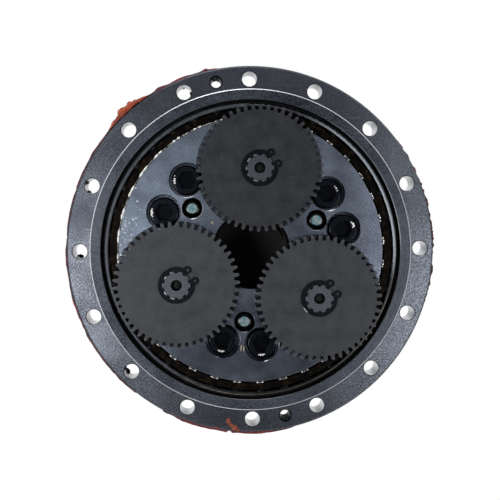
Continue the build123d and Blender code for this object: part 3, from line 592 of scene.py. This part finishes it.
for letter, tone in GEAR_SHADES.items():
    material, tree, shader = finish(f"phosphated gear {letter}")
    where = placed(tree)
    distance = from_axis(tree, middle_of(f"spur_gear_{letter}"))
    speckle = grain(tree, where, 0.55, 3.0, 0.65)
    patchy = weighed(tree, speckle, 0.35, grain(tree, where, 8.0, 4.0, 0.6))
    dim, lit = [tuple(tone * c for c in grey) for grey in GEAR_GREYS]
    matte = colours(tree, patchy, (0.36, dim), (0.64, lit))
    flecks = scaled(tree, grain(tree, where, 1.1), 0.70, 0.76, 0.0, 0.5)
    matte = blended(tree, flecks, matte, (118, 120, 122))
    worn = scaled(tree, distance, *TEETH, 0.0, 0.12)
    colour_with(tree, shader, blended(tree, worn, matte, (104, 106, 110)))
    gloss(tree, shader, patchy, 0.42, 0.56)
    relief(tree, shader, rings(tree, distance, 0.3), 0.003)
    relief(tree, shader, speckle, 0.006)
    dab(material, f"spur_gear_{letter}")
print("gears finished")

# %% Finish the crankshafts
GLINTS = {"a": 1.0, "b": 1.0, "c": 0.25}  # how bright the painted highlight on the spline tips is
SPLINE_TIPS = (0.0080, 0.0086)
END_HOLE_MOUTH = 0.0034  # with its chamfer
GLINT_SIDE = (-0.97, -0.2, 0)

for letter, brightness in GLINTS.items():
    shaft = middle_of(f"spur_gear_{letter}")
    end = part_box(f"crankshaft_{letter}")[1].z
    material, tree, shader = finish(f"ground shaft {letter}")
    where = placed(tree)
    distance = from_axis(tree, shaft)
    lathe_marks = rings(tree, distance, 0.4, 3.0)
    patchy = weighed(tree, lathe_marks, 0.4, grain(tree, where, 0.6, 3.0))
    ground = colours(tree, patchy, (0.35, (54, 57, 61)), (0.65, (80, 83, 88)))
    at_end = scaled(tree, height_of(tree, where), end - 0.0004, end - 0.0002)
    tips = product(tree, between(tree, distance, *SPLINE_TIPS, 0.0001), at_end)
    # Painted highlight: the spline tips glint on their left side only.
    one_side = toward(tree, placed(tree, (*shaft, 0)), GLINT_SIDE, -0.001, 0.005)
    glinting = product(tree, one_side, scaled(tree, grain(tree, where, 2.2, 1.0), 0.40, 0.50))
    glint = product(tree, product(tree, tips, glinting), brightness)
    ground = blended(tree, glint, ground, (176, 179, 184))
    # Painted shade: the mouth of the end hole and its chamfer are painted dark.
    hole = within(tree, distance, END_HOLE_MOUTH - 0.0003, END_HOLE_MOUTH)
    colour_with(tree, shader, blended(tree, hole, ground, (12, 12, 13)))
    gloss(tree, shader, patchy, 0.30, 0.44)
    relief(tree, shader, lathe_marks, 0.006)
    dab(material, f"crankshaft_{letter}")
print("crankshafts finished")

# %% [markdown]
# ## Dark fasteners, bearing steel and grease-dark cages
#
# The socket screws, rings and circlips are blackened and oily. The screws' sockets and the sides
# of their heads are painted darker than the top face, as shade, and one circlip has a painted
# highlight along one side. Pins, balls, rollers and needles are polished bearing steel. The races
# are steel too: below their rounded rims they are painted dark, as the shade of the groove, and
# the rims carry painted light and shade that change from side to side. The ball cages are brass,
# but years of old grease have turned them almost black-brown. The dowels are polished on the flat
# of their crowned ends, which is painted pale and bluish as a highlight, while the crown round it
# is painted dark as shade; their recipe picks the flat by its height. Whatever needs no mask takes
# the plainest recipe, in one line.

# %% Finish the dark steel
material, tree, shader = finish("black oxide", coat_weight=0.12, coat_roughness=0.1)
where = placed(tree)
speckle = grain(tree, where, 0.7, 3.0)
head_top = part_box("carrier_bolts")[1].z
# Painted shade: below the head's top face, the socket and the head's sides are darker than the face.
head_face = scaled(tree, height_of(tree, where), head_top - 0.0011, head_top - 0.0002)
oxide = two_tone(tree, speckle, (7, 8, 10), (14, 16, 19))
colour_with(tree, shader, blended(tree, head_face, oxide, (19, 21, 27)))
gloss(tree, shader, speckle, 0.22, 0.36)
relief(tree, shader, grain(tree, where, 0.6), 0.002)
dab(material, "carrier_bolts", "bolt_washers")

SPRING_GRAIN, SPRING_DEPTH = 0.6, 0.008
SPRING_TONES = ((12, 13, 15), (25, 27, 30))
SPRING_GLOSS = (0.34, 0.48)
blackened = speckled("blackened spring steel", SPRING_GRAIN, SPRING_TONES, SPRING_GLOSS, SPRING_DEPTH)
dab(blackened, "gear_circlips_a", "gear_circlips_b", "cup_retaining_rings")

shaft = middle_of("crankshaft_c")
material, tree, shader = finish("rubbed spring steel")
where = placed(tree, (*shaft, 0))
speckle = grain(tree, where, SPRING_GRAIN, 3.0)
# Painted highlight: a bright stroke on the outer edge of circlip c, at its lower left.
outer_edge = between(tree, from_axis(tree, shaft), 0.0103, 0.0112, 0.0002)
glinting = product(tree, outer_edge, toward(tree, where, (-0.78, -0.62, 0), 0.0105, 0.0107))
dull = two_tone(tree, speckle, *SPRING_TONES)
colour_with(tree, shader, blended(tree, glinting, dull, (190, 194, 200)))
gloss(tree, shader, speckle, *SPRING_GLOSS)
relief(tree, shader, speckle, SPRING_DEPTH)
dab(material, "gear_circlips_c")
print("dark steel finished")

# %% Finish the races
RACE_CROWN = (0.0850, 0.0884)

material, tree, shader = finish("race steel")
where = placed(tree)
distance = from_axis(tree)
smear = grain(tree, where, 6.0, 3.0)
rounded = two_tone(tree, smear, (64, 67, 71), (88, 91, 96))
# Painted light and shade on the race's rounded rim: darker on the left, darkest on the right and at the
# bottom, a thin painted highlight on the bottom's outer edge, and a bright painted sheen at the upper
# right.
left_side = within(tree, along(tree, where, RIGHT), -0.09, 0.03, 0.6)
rounded = blended(tree, left_side, rounded, (34, 36, 39))
right_side = toward(tree, where, (1, 0.2, 0), 0.020, 0.060, 0.75)
low_side = toward(tree, where, (0.42, -0.9, 0), 0.038, 0.068, 0.8)
rounded = blended(tree, either(tree, right_side, low_side), rounded, (16, 16, 15))
outer_line = between(tree, distance, 0.0872, 0.0877, 0.0002)
outer_line = product(tree, outer_line, scaled(tree, low_side, 0.0, 0.8))
rounded = blended(tree, outer_line, rounded, (104, 101, 88))
painted_sheen = toward(tree, where, (0.88, 0.47, 0), 0.066, 0.078, 0.9)
painted_sheen = product(tree, painted_sheen, between(tree, distance, 0.0862, 0.0877, 0.0004))
rounded = blended(tree, painted_sheen, rounded, (138, 143, 150))
# Painted shade: below its rounded rim the race is dark, down in the groove.
crown = between(tree, distance, *RACE_CROWN)
crown = product(tree, crown, scaled(tree, height_of(tree, where), 0.0700, 0.0715))
oily = two_tone(tree, smear, (14, 14, 16), (26, 26, 29))
colour_with(tree, shader, blended(tree, crown, oily, rounded))
gloss(tree, shader, smear, 0.36, 0.44)
relief(tree, shader, rings(tree, distance, 0.3), 0.0003)
dab(material, "input_outer_race", "output_outer_race")
print("races finished")

# %% Finish rollers, discs and cages
ROWS = ("lower", "upper")

steel_tones = ((176, 178, 182), (206, 208, 211))
material = speckled("polished bearing steel", 4.0, steel_tones, (0.12, 0.24), 0.001, fine=(0.6,))
polished = ["ring_pins", "input_balls", "output_balls"]
polished += ["input_bearing_cups", "output_bearing_cups", "cup_shims"]
polished += [f"{piece}_{k}" for piece in ("crank_cones", "taper_rollers", "thrust_washers") for k in "abc"]
polished += [f"needle_rollers_{row}_{k}" for row in ROWS for k in "abc"]
dab(material, *polished)

material, tree, shader = finish("disc steel")
distance = from_axis(tree)
speckle = grain(tree, placed(tree), 0.9, 3.0)
steel = two_tone(tree, speckle, (138, 140, 144), (172, 174, 178))
# Painted shade: the discs are dark round their middle, where they show through the centre bore.
bore_shade = within(tree, distance, HUB - 0.0025, HUB)
colour_with(tree, shader, blended(tree, bore_shade, steel, (14, 13, 13)))
gloss(tree, shader, speckle, 0.26, 0.40)
relief(tree, shader, rings(tree, distance, 0.25), 0.003)
dab(material, "cycloid_disc_lower", "cycloid_disc_upper")

brown_ramp = ((0.36, (8, 7, 7)), (0.54, (14, 12, 10)), (0.70, (38, 28, 17)))
material = speckled("greasy brass cage", 3.0, brown_ramp, (0.30, 0.55), 0.05, 4.0, 0.65)
dab(material, "input_ball_cage", "output_ball_cage")

material = speckled("pressed cage steel", 1.0, ((118, 119, 120), (150, 151, 152)), (0.34, 0.5), 0.004)
cages = [f"taper_cages_{k}" for k in "abc"] + [f"needle_cage_{row}_{k}" for row in ROWS for k in "abc"]
dab(material, *cages)
print(f"{len(polished) + len(cages)} bearing nodes finished")

# %% Finish dowels, plug, seal and its spring
material, tree, shader = finish("dowel steel", coat_weight=0.2, coat_roughness=0.1)
where = placed(tree)
speckle = grain(tree, where, 0.7, 3.0)
dowel_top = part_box("dowel_pins")[1].z
# The polished flat is painted pale and bluish as a highlight, and the crown round it dark as shade.
flat = scaled(tree, height_of(tree, where), dowel_top - 0.000012, dowel_top - 0.000006)
dull = two_tone(tree, speckle, (10, 11, 12), (20, 21, 23))
polish = colours(tree, grain(tree, where, 3.0), (0.38, (86, 126, 134)), (0.62, (138, 148, 146)))
colour_with(tree, shader, blended(tree, flat, dull, polish))
gloss(tree, shader, speckle, 0.26, 0.34)
relief(tree, shader, grain(tree, where, 2.0), 0.004)
dab(material, "dowel_pins")

plug_tones, rubber_tones = ((9, 8, 8), (18, 17, 15)), ((22, 22, 23), (36, 36, 38))
material = speckled("plug steel", 1.5, plug_tones, (0.45, 0.65), 0.03, 4.0, 0.6, metallic=0.6)
dab(material, "centre_plug")
material = speckled("seal rubber", 0.8, rubber_tones, (0.42, 0.62), 0.02, metallic=0.0)
dab(material, "output_oil_seal")
material = speckled("spring wire", 0.5, ((140, 140, 142), (176, 176, 178)), (0.25, 0.4), 0.01, 2.0)
dab(material, "seal_garter_spring")


def has_finish(solid):
    """True once a solid has a material made of nodes."""
    return bool(solid.data.materials) and solid.data.materials[0].use_nodes


print("solids without a finish:", [title for title, solid in solids.items() if not has_finish(solid)])

# %% [markdown]
# ## Small shapes as surfaces
#
# Paint lumps, grease beads and droplets are all closed blobs. Each is a grid of points worked out
# in one go: rows run along it and columns run round it, and the first and last rows shrink to a
# point or a line. One helper turns any stack of such grids into a single mesh, merges the
# shrunken ends, and turns the faces outwards.

# %% A helper for closed surfaces
MERGE = 2e-6  # points nearer than this, in metres, become one


def closed_surface(title, grids, material, body):
    """One mesh from an array (blobs, rows, columns, 3) in millimetres, columns going round."""
    count, rows, columns, _ = grids.shape
    index = np.arange(count * rows * columns).reshape(count, rows, columns)
    following = np.roll(index, -1, axis=2)
    quads = np.stack([index[:, :-1], following[:, :-1], following[:, 1:], index[:, 1:]], axis=-1)
    mesh = bpy.data.meshes.new(title)
    mesh.from_pydata((grids.reshape(-1, 3) * MM).tolist(), [], quads.reshape(-1, 4).tolist())
    shape = bmesh.new()
    shape.from_mesh(mesh)
    bmesh.ops.remove_doubles(shape, verts=shape.verts, dist=MERGE)
    bmesh.ops.recalc_face_normals(shape, faces=shape.faces)
    shape.to_mesh(mesh)
    shape.free()
    mesh.polygons.foreach_set("use_smooth", np.ones(len(mesh.polygons), bool))
    mesh.materials.append(material)
    piece = bpy.data.objects.new(title, mesh)
    scene.collection.objects.link(piece)
    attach(piece, body)
    print(title, len(mesh.polygons), "faces")


# %% Relief that is random but smooth
LATTICE = 64


def soft_noise(first, second, seed, octaves=3):
    """Smooth random relief, mostly from -1 to 1, of two arrays: octaves of a random lattice,
    cosine blended, each twice as fine and half as strong as the last."""
    random = np.random.default_rng(seed)
    total = np.zeros(np.broadcast(first, second).shape)
    for octave in range(octaves):
        lattice = random.uniform(-1, 1, (LATTICE, LATTICE))
        x, y = first * 2**octave, second * 2**octave
        i, j = np.floor(x).astype(int), np.floor(y).astype(int)
        u = 0.5 - 0.5 * np.cos(np.pi * (x - i))
        v = 0.5 - 0.5 * np.cos(np.pi * (y - j))
        i, j, next_i, next_j = i % LATTICE, j % LATTICE, (i + 1) % LATTICE, (j + 1) % LATTICE
        near = lattice[i, j] * (1 - u) + lattice[next_i, j] * u
        far = lattice[i, next_j] * (1 - u) + lattice[next_i, next_j] * u
        total = total + (near * (1 - v) + far * v) * 0.5**octave
    return total


sample = soft_noise(*np.meshgrid(np.arange(0, 20, 0.3), np.arange(0, 20, 0.3)), 1)
print(f"soft noise runs from {sample.min():.2f} to {sample.max():.2f}")

# %% [markdown]
# ## Old paint on the flange's rim
#
# The machine was sprayed orange with the reducer in place, and the paint that landed on the
# flange's rim stayed when it was taken out: a thick crust at the upper left, a thin line down the
# left, more along the bottom, and a ragged trace on the right. The thin lines are that orange paint
# in shade, so they are painted dark red. The paint is a shell wrapped round the rim. Its thickness
# is a sum of smooth humps along the angle plus noise, and where the sum falls below nothing the
# shell dips inside the steel, which gives the torn edge for free. The same trick shapes a strip's
# outline: its ends slant and fray, and below it ends in runs, because wet paint creeps down
# further in some places than in others.

# %% Mix the paints
PAINT_SHEEN = {"metallic": 0.0, "specular_ior_level": 0.35}

paint, tree, shader = finish("old orange paint", **PAINT_SHEEN)
where = placed(tree)
chips = grain(tree, where, 1.2, 3.0, 0.6)
patchy = weighed(tree, grain(tree, where, 9.0, 4.0, 0.6), 0.7, chips)
orange_ramp = ((0.34, (78, 24, 14)), (0.45, (128, 46, 18)), (0.56, (164, 68, 24)), (0.72, (196, 102, 50)))
colour_with(tree, shader, colours(tree, patchy, *orange_ramp))
gloss(tree, shader, chips, 0.32, 0.6)
relief(tree, shader, chips, 0.12)

# The thin lines are the orange paint in shade, painted dark red.
shaded_paint_ramp = ((0.36, (48, 11, 17)), (0.5, (86, 20, 26)), (0.66, (132, 40, 38)))
crust_ramp = ((0.37, (24, 12, 14)), (0.5, (62, 17, 20)), (0.62, (124, 28, 28)))
brown_ramp = ((0.36, (62, 28, 16)), (0.5, (112, 48, 24)), (0.64, (158, 74, 38)))
shaded_paint = speckled("orange paint in shade", 7.0, shaded_paint_ramp, (0.4, 0.7), 0.1, 4.0, 0.6, (1.2, 3.0, 0.6),
                    **PAINT_SHEEN)
crust = speckled("dark red crust", 1.5, crust_ramp, (0.5, 0.8), 0.15, lumps=0.6,
                 metallic=0.0, specular_ior_level=0.3)
brown = speckled("brown paint", 2.0, brown_ramp, (0.4, 0.7), 0.12, lumps=0.6, **PAINT_SHEEN)
print("paints mixed:", [m.name for m in (paint, shaded_paint, crust, brown)])

# %% Shape a strip of paint
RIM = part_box("ring_gear_case")[1].x / MM
RIM_TOP, RIM_FOOT = 68.0, 46.0
LOWEST, HIGHEST = RIM_FOOT + 0.4, RIM_TOP - 1.1  # the strips stay off the rim's two edges
SPAN = HIGHEST - LOWEST
ANGLE_STEP, LEVELS = 0.3, 22
INSIDE = 0.4  # how deep the back of the shell lies in the steel
SUNK = 0.25  # how deep the front lies where there is no paint


def paint_shell(angles, heights, thickness):
    """Loops round the rim's edge, one for each angle: up the outside at rim + thickness, then
    back down just inside the steel."""
    outer = np.stack(np.broadcast_arrays(RIM + thickness, heights), axis=-1)
    inner = np.stack(np.broadcast_arrays(np.full_like(thickness, RIM - INSIDE), heights), axis=-1)
    loop = np.concatenate([outer, inner[:, ::-1]], axis=1)
    turns = np.radians(angles)[:, None]
    radius, level = loop[..., 0], loop[..., 1]
    return np.stack([radius * np.cos(turns), radius * np.sin(turns), level], axis=-1)


def humps(angles, places):
    """Sum of bell-shaped humps: (middle in degrees, half width in degrees, height)."""
    total = np.zeros_like(angles)
    for middle, width, tallest in places:
        total = total + tallest * np.exp(-(((angles - middle) / width) ** 2))
    return total


def paint_thickness(a, z, places, film, grit, seed):
    """Humps that thin out toward the rim's edges, a film, and grit, each roughened by noise."""
    off_middle = np.abs((z - (LOWEST + HIGHEST) / 2) / (SPAN / 2))
    lumps = humps(a, places) * (1 - 0.4 * off_middle**3) * (1 + 0.3 * soft_noise(a / 1.5, z / 2.5, seed))
    thin = film * (0.7 + 0.5 * soft_noise(a / 4, z / 5, seed + 1))
    return lumps + thin + grit * soft_noise(a / 1.1, z / 2.0, seed + 2, 2).clip(-0.2, 1)


def paint_cover(a, z, start, end, seed):
    """1 where there is paint and 0 where there is none: ends that slant by 5 degrees from top to
    foot and fray by noise, times a foot that hangs down in runs."""
    to_end = np.minimum(a - start, end - a)
    depth = (HIGHEST - z) / SPAN
    frayed = 2.2 * soft_noise(z / 2.5, a / 2.5, seed + 3, 2)
    ends = ((to_end - 3 - 5 * depth - frayed) / 1.5).clip(0, 1) * (to_end > 0)
    runs = 0.62 + 0.42 * soft_noise(a / 4.5, 0 * a, seed + 4, 3)
    foot = (6 * (runs - depth) + 0.9 * soft_noise(a / 1.6, z / 2.5, seed + 5, 2)).clip(0, 1)
    return ends * foot


def paint_strip(title, start, end, places, film, seed, skin, grit=0.0):
    """A strip of paint from one angle to another: its thickness where it covers the steel, and
    sunk below the steel's surface where it doesn't. Its first and last loops shrink to a point."""
    angles = np.arange(start, end + 0.1, ANGLE_STEP)
    a, z = np.meshgrid(angles, np.linspace(LOWEST, HIGHEST, LEVELS), indexing="ij")
    cover = paint_cover(a, z, start, end, seed)
    thick = paint_thickness(a, z, places, film, grit, seed) * cover - SUNK * (1 - cover)
    grid = paint_shell(angles, z, thick)
    grid[0], grid[-1] = grid[0].mean(0), grid[-1].mean(0)
    closed_surface(title, grid[None], skin, "case")


print(f"rim at {RIM:.1f} mm, painted from {LOWEST:.1f} to {HIGHEST:.1f} mm up")

# %% Paint the rim
crust_humps = [(132.2, 2.6, 5.2), (128.0, 3.0, 3.4), (124.5, 3, 1.2), (136.8, 3.4, 2.6)]
upper_humps = [(119, 1.8, 1.1), (115, 5, 0.5), (110, 3, 0.4), (103.8, 0.9, 1.1), (147, 7, 0.45)]
left_humps = [(165, 6, 0.25), (205, 9, 0.3), (222, 8, 0.7)]
bottom_humps = [(251, 6, 0.8), (262, 7, 1.0), (272, 5, 0.6)]
right_humps = [(352, 9, 0.35), (368, 7, 0.45), (378, 6, 0.3)]

paint_strip("paint_crust_upper_left", 118, 146, crust_humps, 0.2, 3, paint)
paint_strip("paint_line_upper_left", 96, 166, upper_humps, 0.7, 5, shaded_paint)
paint_strip("paint_line_left", 158, 233, left_humps, 0.75, 7, shaded_paint)
paint_strip("paint_line_bottom", 238, 287, bottom_humps, 0.95, 11, shaded_paint)
paint_strip("paint_trace_right", 338, 400, right_humps, 0.15, 17, crust, grit=0.8)

# %% [markdown]
# ## Paint on the flange's face, grease beads that are also painted glints, and droplets
#
# A few dabs of paint also sit on the face near the bottom. In the gap between the carrier and the
# ball cage, a pair of white grease beads at each ball also stands in for the balls' glints, as
# painted highlights, and a line of white blobs along the carrier's rim on the left is a painted
# highlight too. A spray of tiny drops lies on the carrier's left side. All of these are flattened
# blobs: an ellipsoid whose outline is bent by noise. The beads ride on the ball set, because they
# follow the balls, and the rest rides on the piece it sticks to. The socket screws each have white
# blobs on the edge of the head, as painted glints. The drilled shaft ends have dark grease in
# them: its skin is the same blob once more, without noise, so it spans the hole from wall to wall.

# %% Dabs of paint on the face


def bent_ellipses(count, rows, columns, wobble, seed, apart):
    """The grid of an ellipsoid: u from pole to pole, v round it, and an outline for each blob
    that is 1 + wobble * noise of v. apart is the step in the noise from one blob to the next."""
    u = np.linspace(0, np.pi, rows)[None, :, None]
    v = np.linspace(0, 2 * np.pi, columns, endpoint=False)[None, None, :]
    item = np.arange(count)[:, None, None]
    bend = soft_noise(3 * np.cos(v) + item * apart[0], 3 * np.sin(v) + item * apart[1], seed, 2)
    return u, v, 1 + wobble * bend


def blobs(places, seed, rows=9, columns=16, wobble=0.18):
    """Flattened ellipsoids. Each place is (radius of its centre from the main axis, angle in
    degrees, height, half length along the ring, half width across it, half thickness)."""
    radius, angle, level, long, wide, thick = np.array(places, float).T[:, :, None, None]
    u, v, outline = bent_ellipses(len(places), rows, columns, wobble, seed, (5.3, 2.7))
    x = radius + wide * outline * np.sin(u) * np.cos(v)
    y = long * outline * np.sin(u) * np.sin(v)
    z = level + thick * np.cos(u) + 0 * v
    turns = np.radians(angle)
    turned_x, turned_y = x * np.cos(turns) - y * np.sin(turns), x * np.sin(turns) + y * np.cos(turns)
    return np.stack([turned_x, turned_y, z + 0 * x], axis=-1)


dabs = [
    (105.4, 262.1, 68.0, 1.4, 2.3, 0.25), (107.3, 263.2, 68.0, 1.3, 1.2, 0.2),
    (108.7, 264.3, 68.0, 2.0, 1.5, 0.25), (109.9, 265.2, 67.8, 1.6, 1.1, 0.35),
    (110.0, 258.5, 67.8, 1.6, 0.6, 0.3),
]
closed_surface("paint_dabs", blobs(dabs, 23, 13, 32, wobble=0.3), brown, "case")

# %% Grease beads at the balls as painted glints, and a painted highlight along the carrier's rim
BALLS, FIRST_BALL = 36, 3.4
CARRIER_TOP = 73.0
GAP_CIRCLE = 79.92  # between the carrier's rim and the ball cage
random = np.random.default_rng(5)  # the beads, the film and the oil drops share it, in this order

# This white grease also serves as painted glints: on the balls' beads, along the carrier's rim and on the
# screws.
cream = ((214, 212, 204), (244, 244, 240))
grease = speckled("white grease", 1.0, cream, (0.10, 0.25), 0.05, fine=(0.5,),
                  metallic=0.0, ior=1.45, coat_weight=0.6, coat_roughness=0.05)

ball_angles = FIRST_BALL + 360 / BALLS * np.arange(BALLS)
# Painted glints: the beads stand in for the balls' highlights as well as grease, so they are sized by
# angle, larger on the left where the light catches them.
lit_size = 0.6 + humps(ball_angles, [(160, 38, 1.15), (330, 60, -0.28), (35, 30, -0.22)])
beads = []
for angle, lit_scale in zip(ball_angles, lit_size):
    for step in (-1.15, 1.25):
        size = random.uniform(0.8, 1.2) * lit_scale
        bead_angle = angle + step + random.uniform(-0.2, 0.2)
        wide = 0.48 * lit_scale**0.5
        beads.append((GAP_CIRCLE, bead_angle, CARRIER_TOP - 0.1, 1.25 * size, wide, 0.38))
closed_surface("grease_glint_beads", blobs(beads, 31), grease, "input_ball_set")

# Painted highlight: a line of white blobs along the carrier's rim, on the left side only.
rim_glint_blobs = []
for angle in np.arange(97, 192, 1.15):
    size = random.uniform(0.5, 1.1)
    rim_glint_blobs.append((79.75, angle + random.uniform(-0.3, 0.3), 72.95, size, 0.16 * size, 0.14))
closed_surface("rim_glint_line", blobs(rim_glint_blobs, 33, 7, 12), grease, "carrier")

# %% A painted glint on each screw
SCREW_CIRCLE = 57.07
HEAD_TOP = head_top / MM
# Painted glints: small white blobs on the edge of each screw's head.
glint_spots = {  # at each screw's angle: offsets from its middle, right and up, and a radius
    132.2: [(-7.1, 2.7, 0.35), (-7.2, 0.9, 0.5), (-7.4, -0.3, 0.65), (-7.2, -1.6, 0.6)],
    156.0: [(-7.0, 2.1, 0.5), (-7.4, 0.9, 0.7), (-7.1, -0.3, 0.75), (-7.4, -1.5, 0.7), (-6.8, -2.4, 0.4)],
    252.2: [(-2.9, -6.1, 0.4), (-1.9, -6.4, 0.6), (-0.7, -6.6, 0.6), (0.3, -6.5, 0.4)],
    276.0: [(-1.7, -6.5, 0.4), (-0.7, -6.7, 0.6), (0.5, -6.6, 0.65), (1.5, -6.3, 0.4)],
    12.2: [(5.0, 4.0, 0.5), (6.0, 3.2, 0.75), (6.6, 2.0, 0.8), (5.8, 1.2, 0.5)],
    36.0: [(4.6, 4.3, 0.4), (5.5, 3.2, 0.55), (6.2, 1.9, 0.45)],
}
places = []
for screw, spots in glint_spots.items():
    ((screw_x, screw_y),) = on_circle(SCREW_CIRCLE, screw)
    for aside, upward, size in spots:
        x, y = screw_x + aside, screw_y + upward
        places.append((math.hypot(x, y), math.degrees(math.atan2(y, x)), HEAD_TOP, size, size, 0.12))
closed_surface("screw_glints", blobs(places, 35, 7, 16, wobble=0.4), grease, "carrier")

# %% Drops of oil and streaks of old grease
haze = ((128, 136, 148), (188, 196, 206))
oil = speckled("oil drops", 1.2, haze, (0.15, 0.35), 0.02,
               metallic=0.0, ior=1.47, coat_weight=0.5, coat_roughness=0.04)
drops = []
for large in [False] * 61 + [True] * 34:
    angle = random.normal(183, 3.5) if large else random.normal(172, 8)
    radius = random.uniform(70, 78.4)
    size = random.uniform(0.5, 1.25) if large else random.uniform(0.25, 0.8)
    drops.append((radius, angle, CARRIER_TOP, size, size * random.uniform(0.8, 1.2), size * 0.22))
closed_surface("oil_drops", blobs(drops, 37, 7, 12), oil, "carrier")

tallow_tones = ((96, 84, 66), (178, 166, 142))
tallow = speckled("old tallow-coloured grease", 0.8, tallow_tones, (0.3, 0.5), 0.05, metallic=0.0, ior=1.45)
streaks = [
    (59.2, 263.6, CARRIER_TOP, 0.35, 2.3, 0.12), (59.6, 265.2, CARRIER_TOP, 0.3, 1.9, 0.12),
    (28.6, 144.2, CARRIER_TOP, 0.9, 0.8, 0.15),
]
closed_surface("grease_streaks", blobs(streaks, 41, 9, 16), tallow, "carrier")

# %% Dark grease in the shaft ends
CRANK_CIRCLE = 49.118
CRANK_ANGLES = {"a": 84.1, "b": 204.1, "c": 324.1}
END_HOLE = 2.85
GREASE_LEVEL = 80.4  # down in the hole, where the skin of the grease lies

soot_tones = ((12, 13, 14), (26, 27, 29))
soot = speckled("dark grease", 0.7, soot_tones, (0.4, 0.6), 0.08, metallic=0.0, specular_ior_level=0.12)
for letter, angle in CRANK_ANGLES.items():
    radius = END_HOLE - 0.02
    plug = blobs([(CRANK_CIRCLE, angle, GREASE_LEVEL, radius, radius, 0.3)], 43, 11, 24, wobble=0.0)
    closed_surface(f"end_hole_grease_{letter}", plug, soot, f"crank_{letter}")

# %% [markdown]
# ## Dark flakes in four bolt holes
#
# Four of the bolt holes have dark flakes on their walls or dark lumps at their mouths. A flake on
# a wall is the same flattened ellipsoid, but wrapped round the hole: its width is an angle on the
# wall, and its thickness points to the hole's axis.

# %% Dark flakes in the bolt holes
FLAKE_SEAT = 4.47  # a flake's middle lies this far from its hole's axis, just off the wall


def wall_flakes(places, seed, rows=11, columns=20):
    """Flakes on the walls of bolt holes: flattened ellipsoids wrapped round the hole. Each place
    is (angle of the hole, direction on its wall in degrees, height, half width in degrees, half
    height, half thickness)."""
    hole, facing, level, wide, tall, thick = np.array(places, float).T[:, :, None, None]
    u, v, outline = bent_ellipses(len(places), rows, columns, 0.35, seed, (4.1, 1.7))
    turns = np.radians(facing + wide * outline * np.sin(u) * np.cos(v))
    z = level + tall * outline * np.sin(u) * np.sin(v)
    radius = FLAKE_SEAT - thick * np.cos(u) + 0 * v
    x = BOLT_CIRCLE * np.cos(np.radians(hole)) + radius * np.cos(turns)
    y = BOLT_CIRCLE * np.sin(np.radians(hole)) + radius * np.sin(turns)
    return np.stack([x, y, z], axis=-1)


flakes = [
    (157.5, 150, 59.0, 17, 8.0, 0.7), (157.5, 230, 58.0, 13, 9.5, 1.0), (180, 236, 60.0, 8, 5.0, 0.15),
    (112.5, 98, 47.6, 5, 1.0, 0.35), (225, 152, 66.2, 16, 1.4, 0.7), (225, 212, 49.5, 22, 3.0, 1.5),
]
closed_surface("hole_dark_flakes", wall_flakes(flakes, 47), soot, "case")
lumps = [(105.1, 181.9, 48.6, 1.3, 2.3, 0.9), (99.9, 110.5, 67.7, 0.8, 2.2, 0.3)]
closed_surface("hole_edge_dark_lumps", blobs(lumps, 53, 13, 28, wobble=0.2), soot, "case")

# %% [markdown]
# ## Threads in the tapped holes
#
# The solids keep tapped holes plain. A thread is one profile carried along a helix: the surface
# below runs round the hole, climbing one pitch a turn, and its radius zigzags between root and
# crest. It lines the hole, so it needs no cutting. It hangs just inside the wall.

# %% Cut the threads
PITCH, ROOT = 1.25, 3.38
ROWS_A_PITCH, COLUMNS = 6, 32
LINING = 0.12  # from the thread's root to the plain back of the lining
OUTPUT_CIRCLE, OUTPUT_HOLES, FIRST_OUTPUT_HOLE = 69.536, 12, 99.1


def thread_lining(places, low, high, crest):
    """Thread surfaces in upright holes. Height goes up the hole and angle round it; the radius
    is root + (crest - root) * a triangle wave of height / pitch - turn, which is a helix. The
    back of the lining is a plain wall just outside the root."""
    rows = int((high - low) / PITCH * ROWS_A_PITCH) + 1
    levels = np.linspace(low, high, rows)[:, None]
    turns = np.linspace(0, 1, COLUMNS, endpoint=False)[None, :]
    wave = np.abs(((levels / PITCH - turns) % 1) * 2 - 1)
    front = ROOT + (crest - ROOT) * wave
    wall = np.full_like(front, ROOT + LINING)
    radius = np.concatenate([wall[:1], front, wall[::-1]], axis=0)
    height = np.concatenate([levels[:1], levels, levels[::-1]], axis=0) + 0 * turns
    angle = 2 * np.pi * turns + 0 * height
    ring = np.stack([radius * np.cos(angle), radius * np.sin(angle), height], axis=-1)
    centres = np.array([(x, y, 0.0) for x, y in places])
    return ring[None] + centres[:, None, None, :]


oily = speckled("oily thread", 0.6, ((12, 12, 14), (30, 31, 34)), (0.25, 0.45), 0.01,
                coat_weight=0.3, coat_roughness=0.2)
jack_threads = thread_lining(on_circle(BOLT_CIRCLE, *JACK_ANGLES), 46.6, 67.4, 3.2)
closed_surface("jack_hole_threads", jack_threads, oily, "case")
output_angles = [FIRST_OUTPUT_HOLE + 360 / OUTPUT_HOLES * k for k in range(OUTPUT_HOLES)]
output_threads = thread_lining(on_circle(OUTPUT_CIRCLE, *output_angles), 0.7, 11.6, 3.1)
closed_surface("output_hole_threads", output_threads, oily, "carrier")
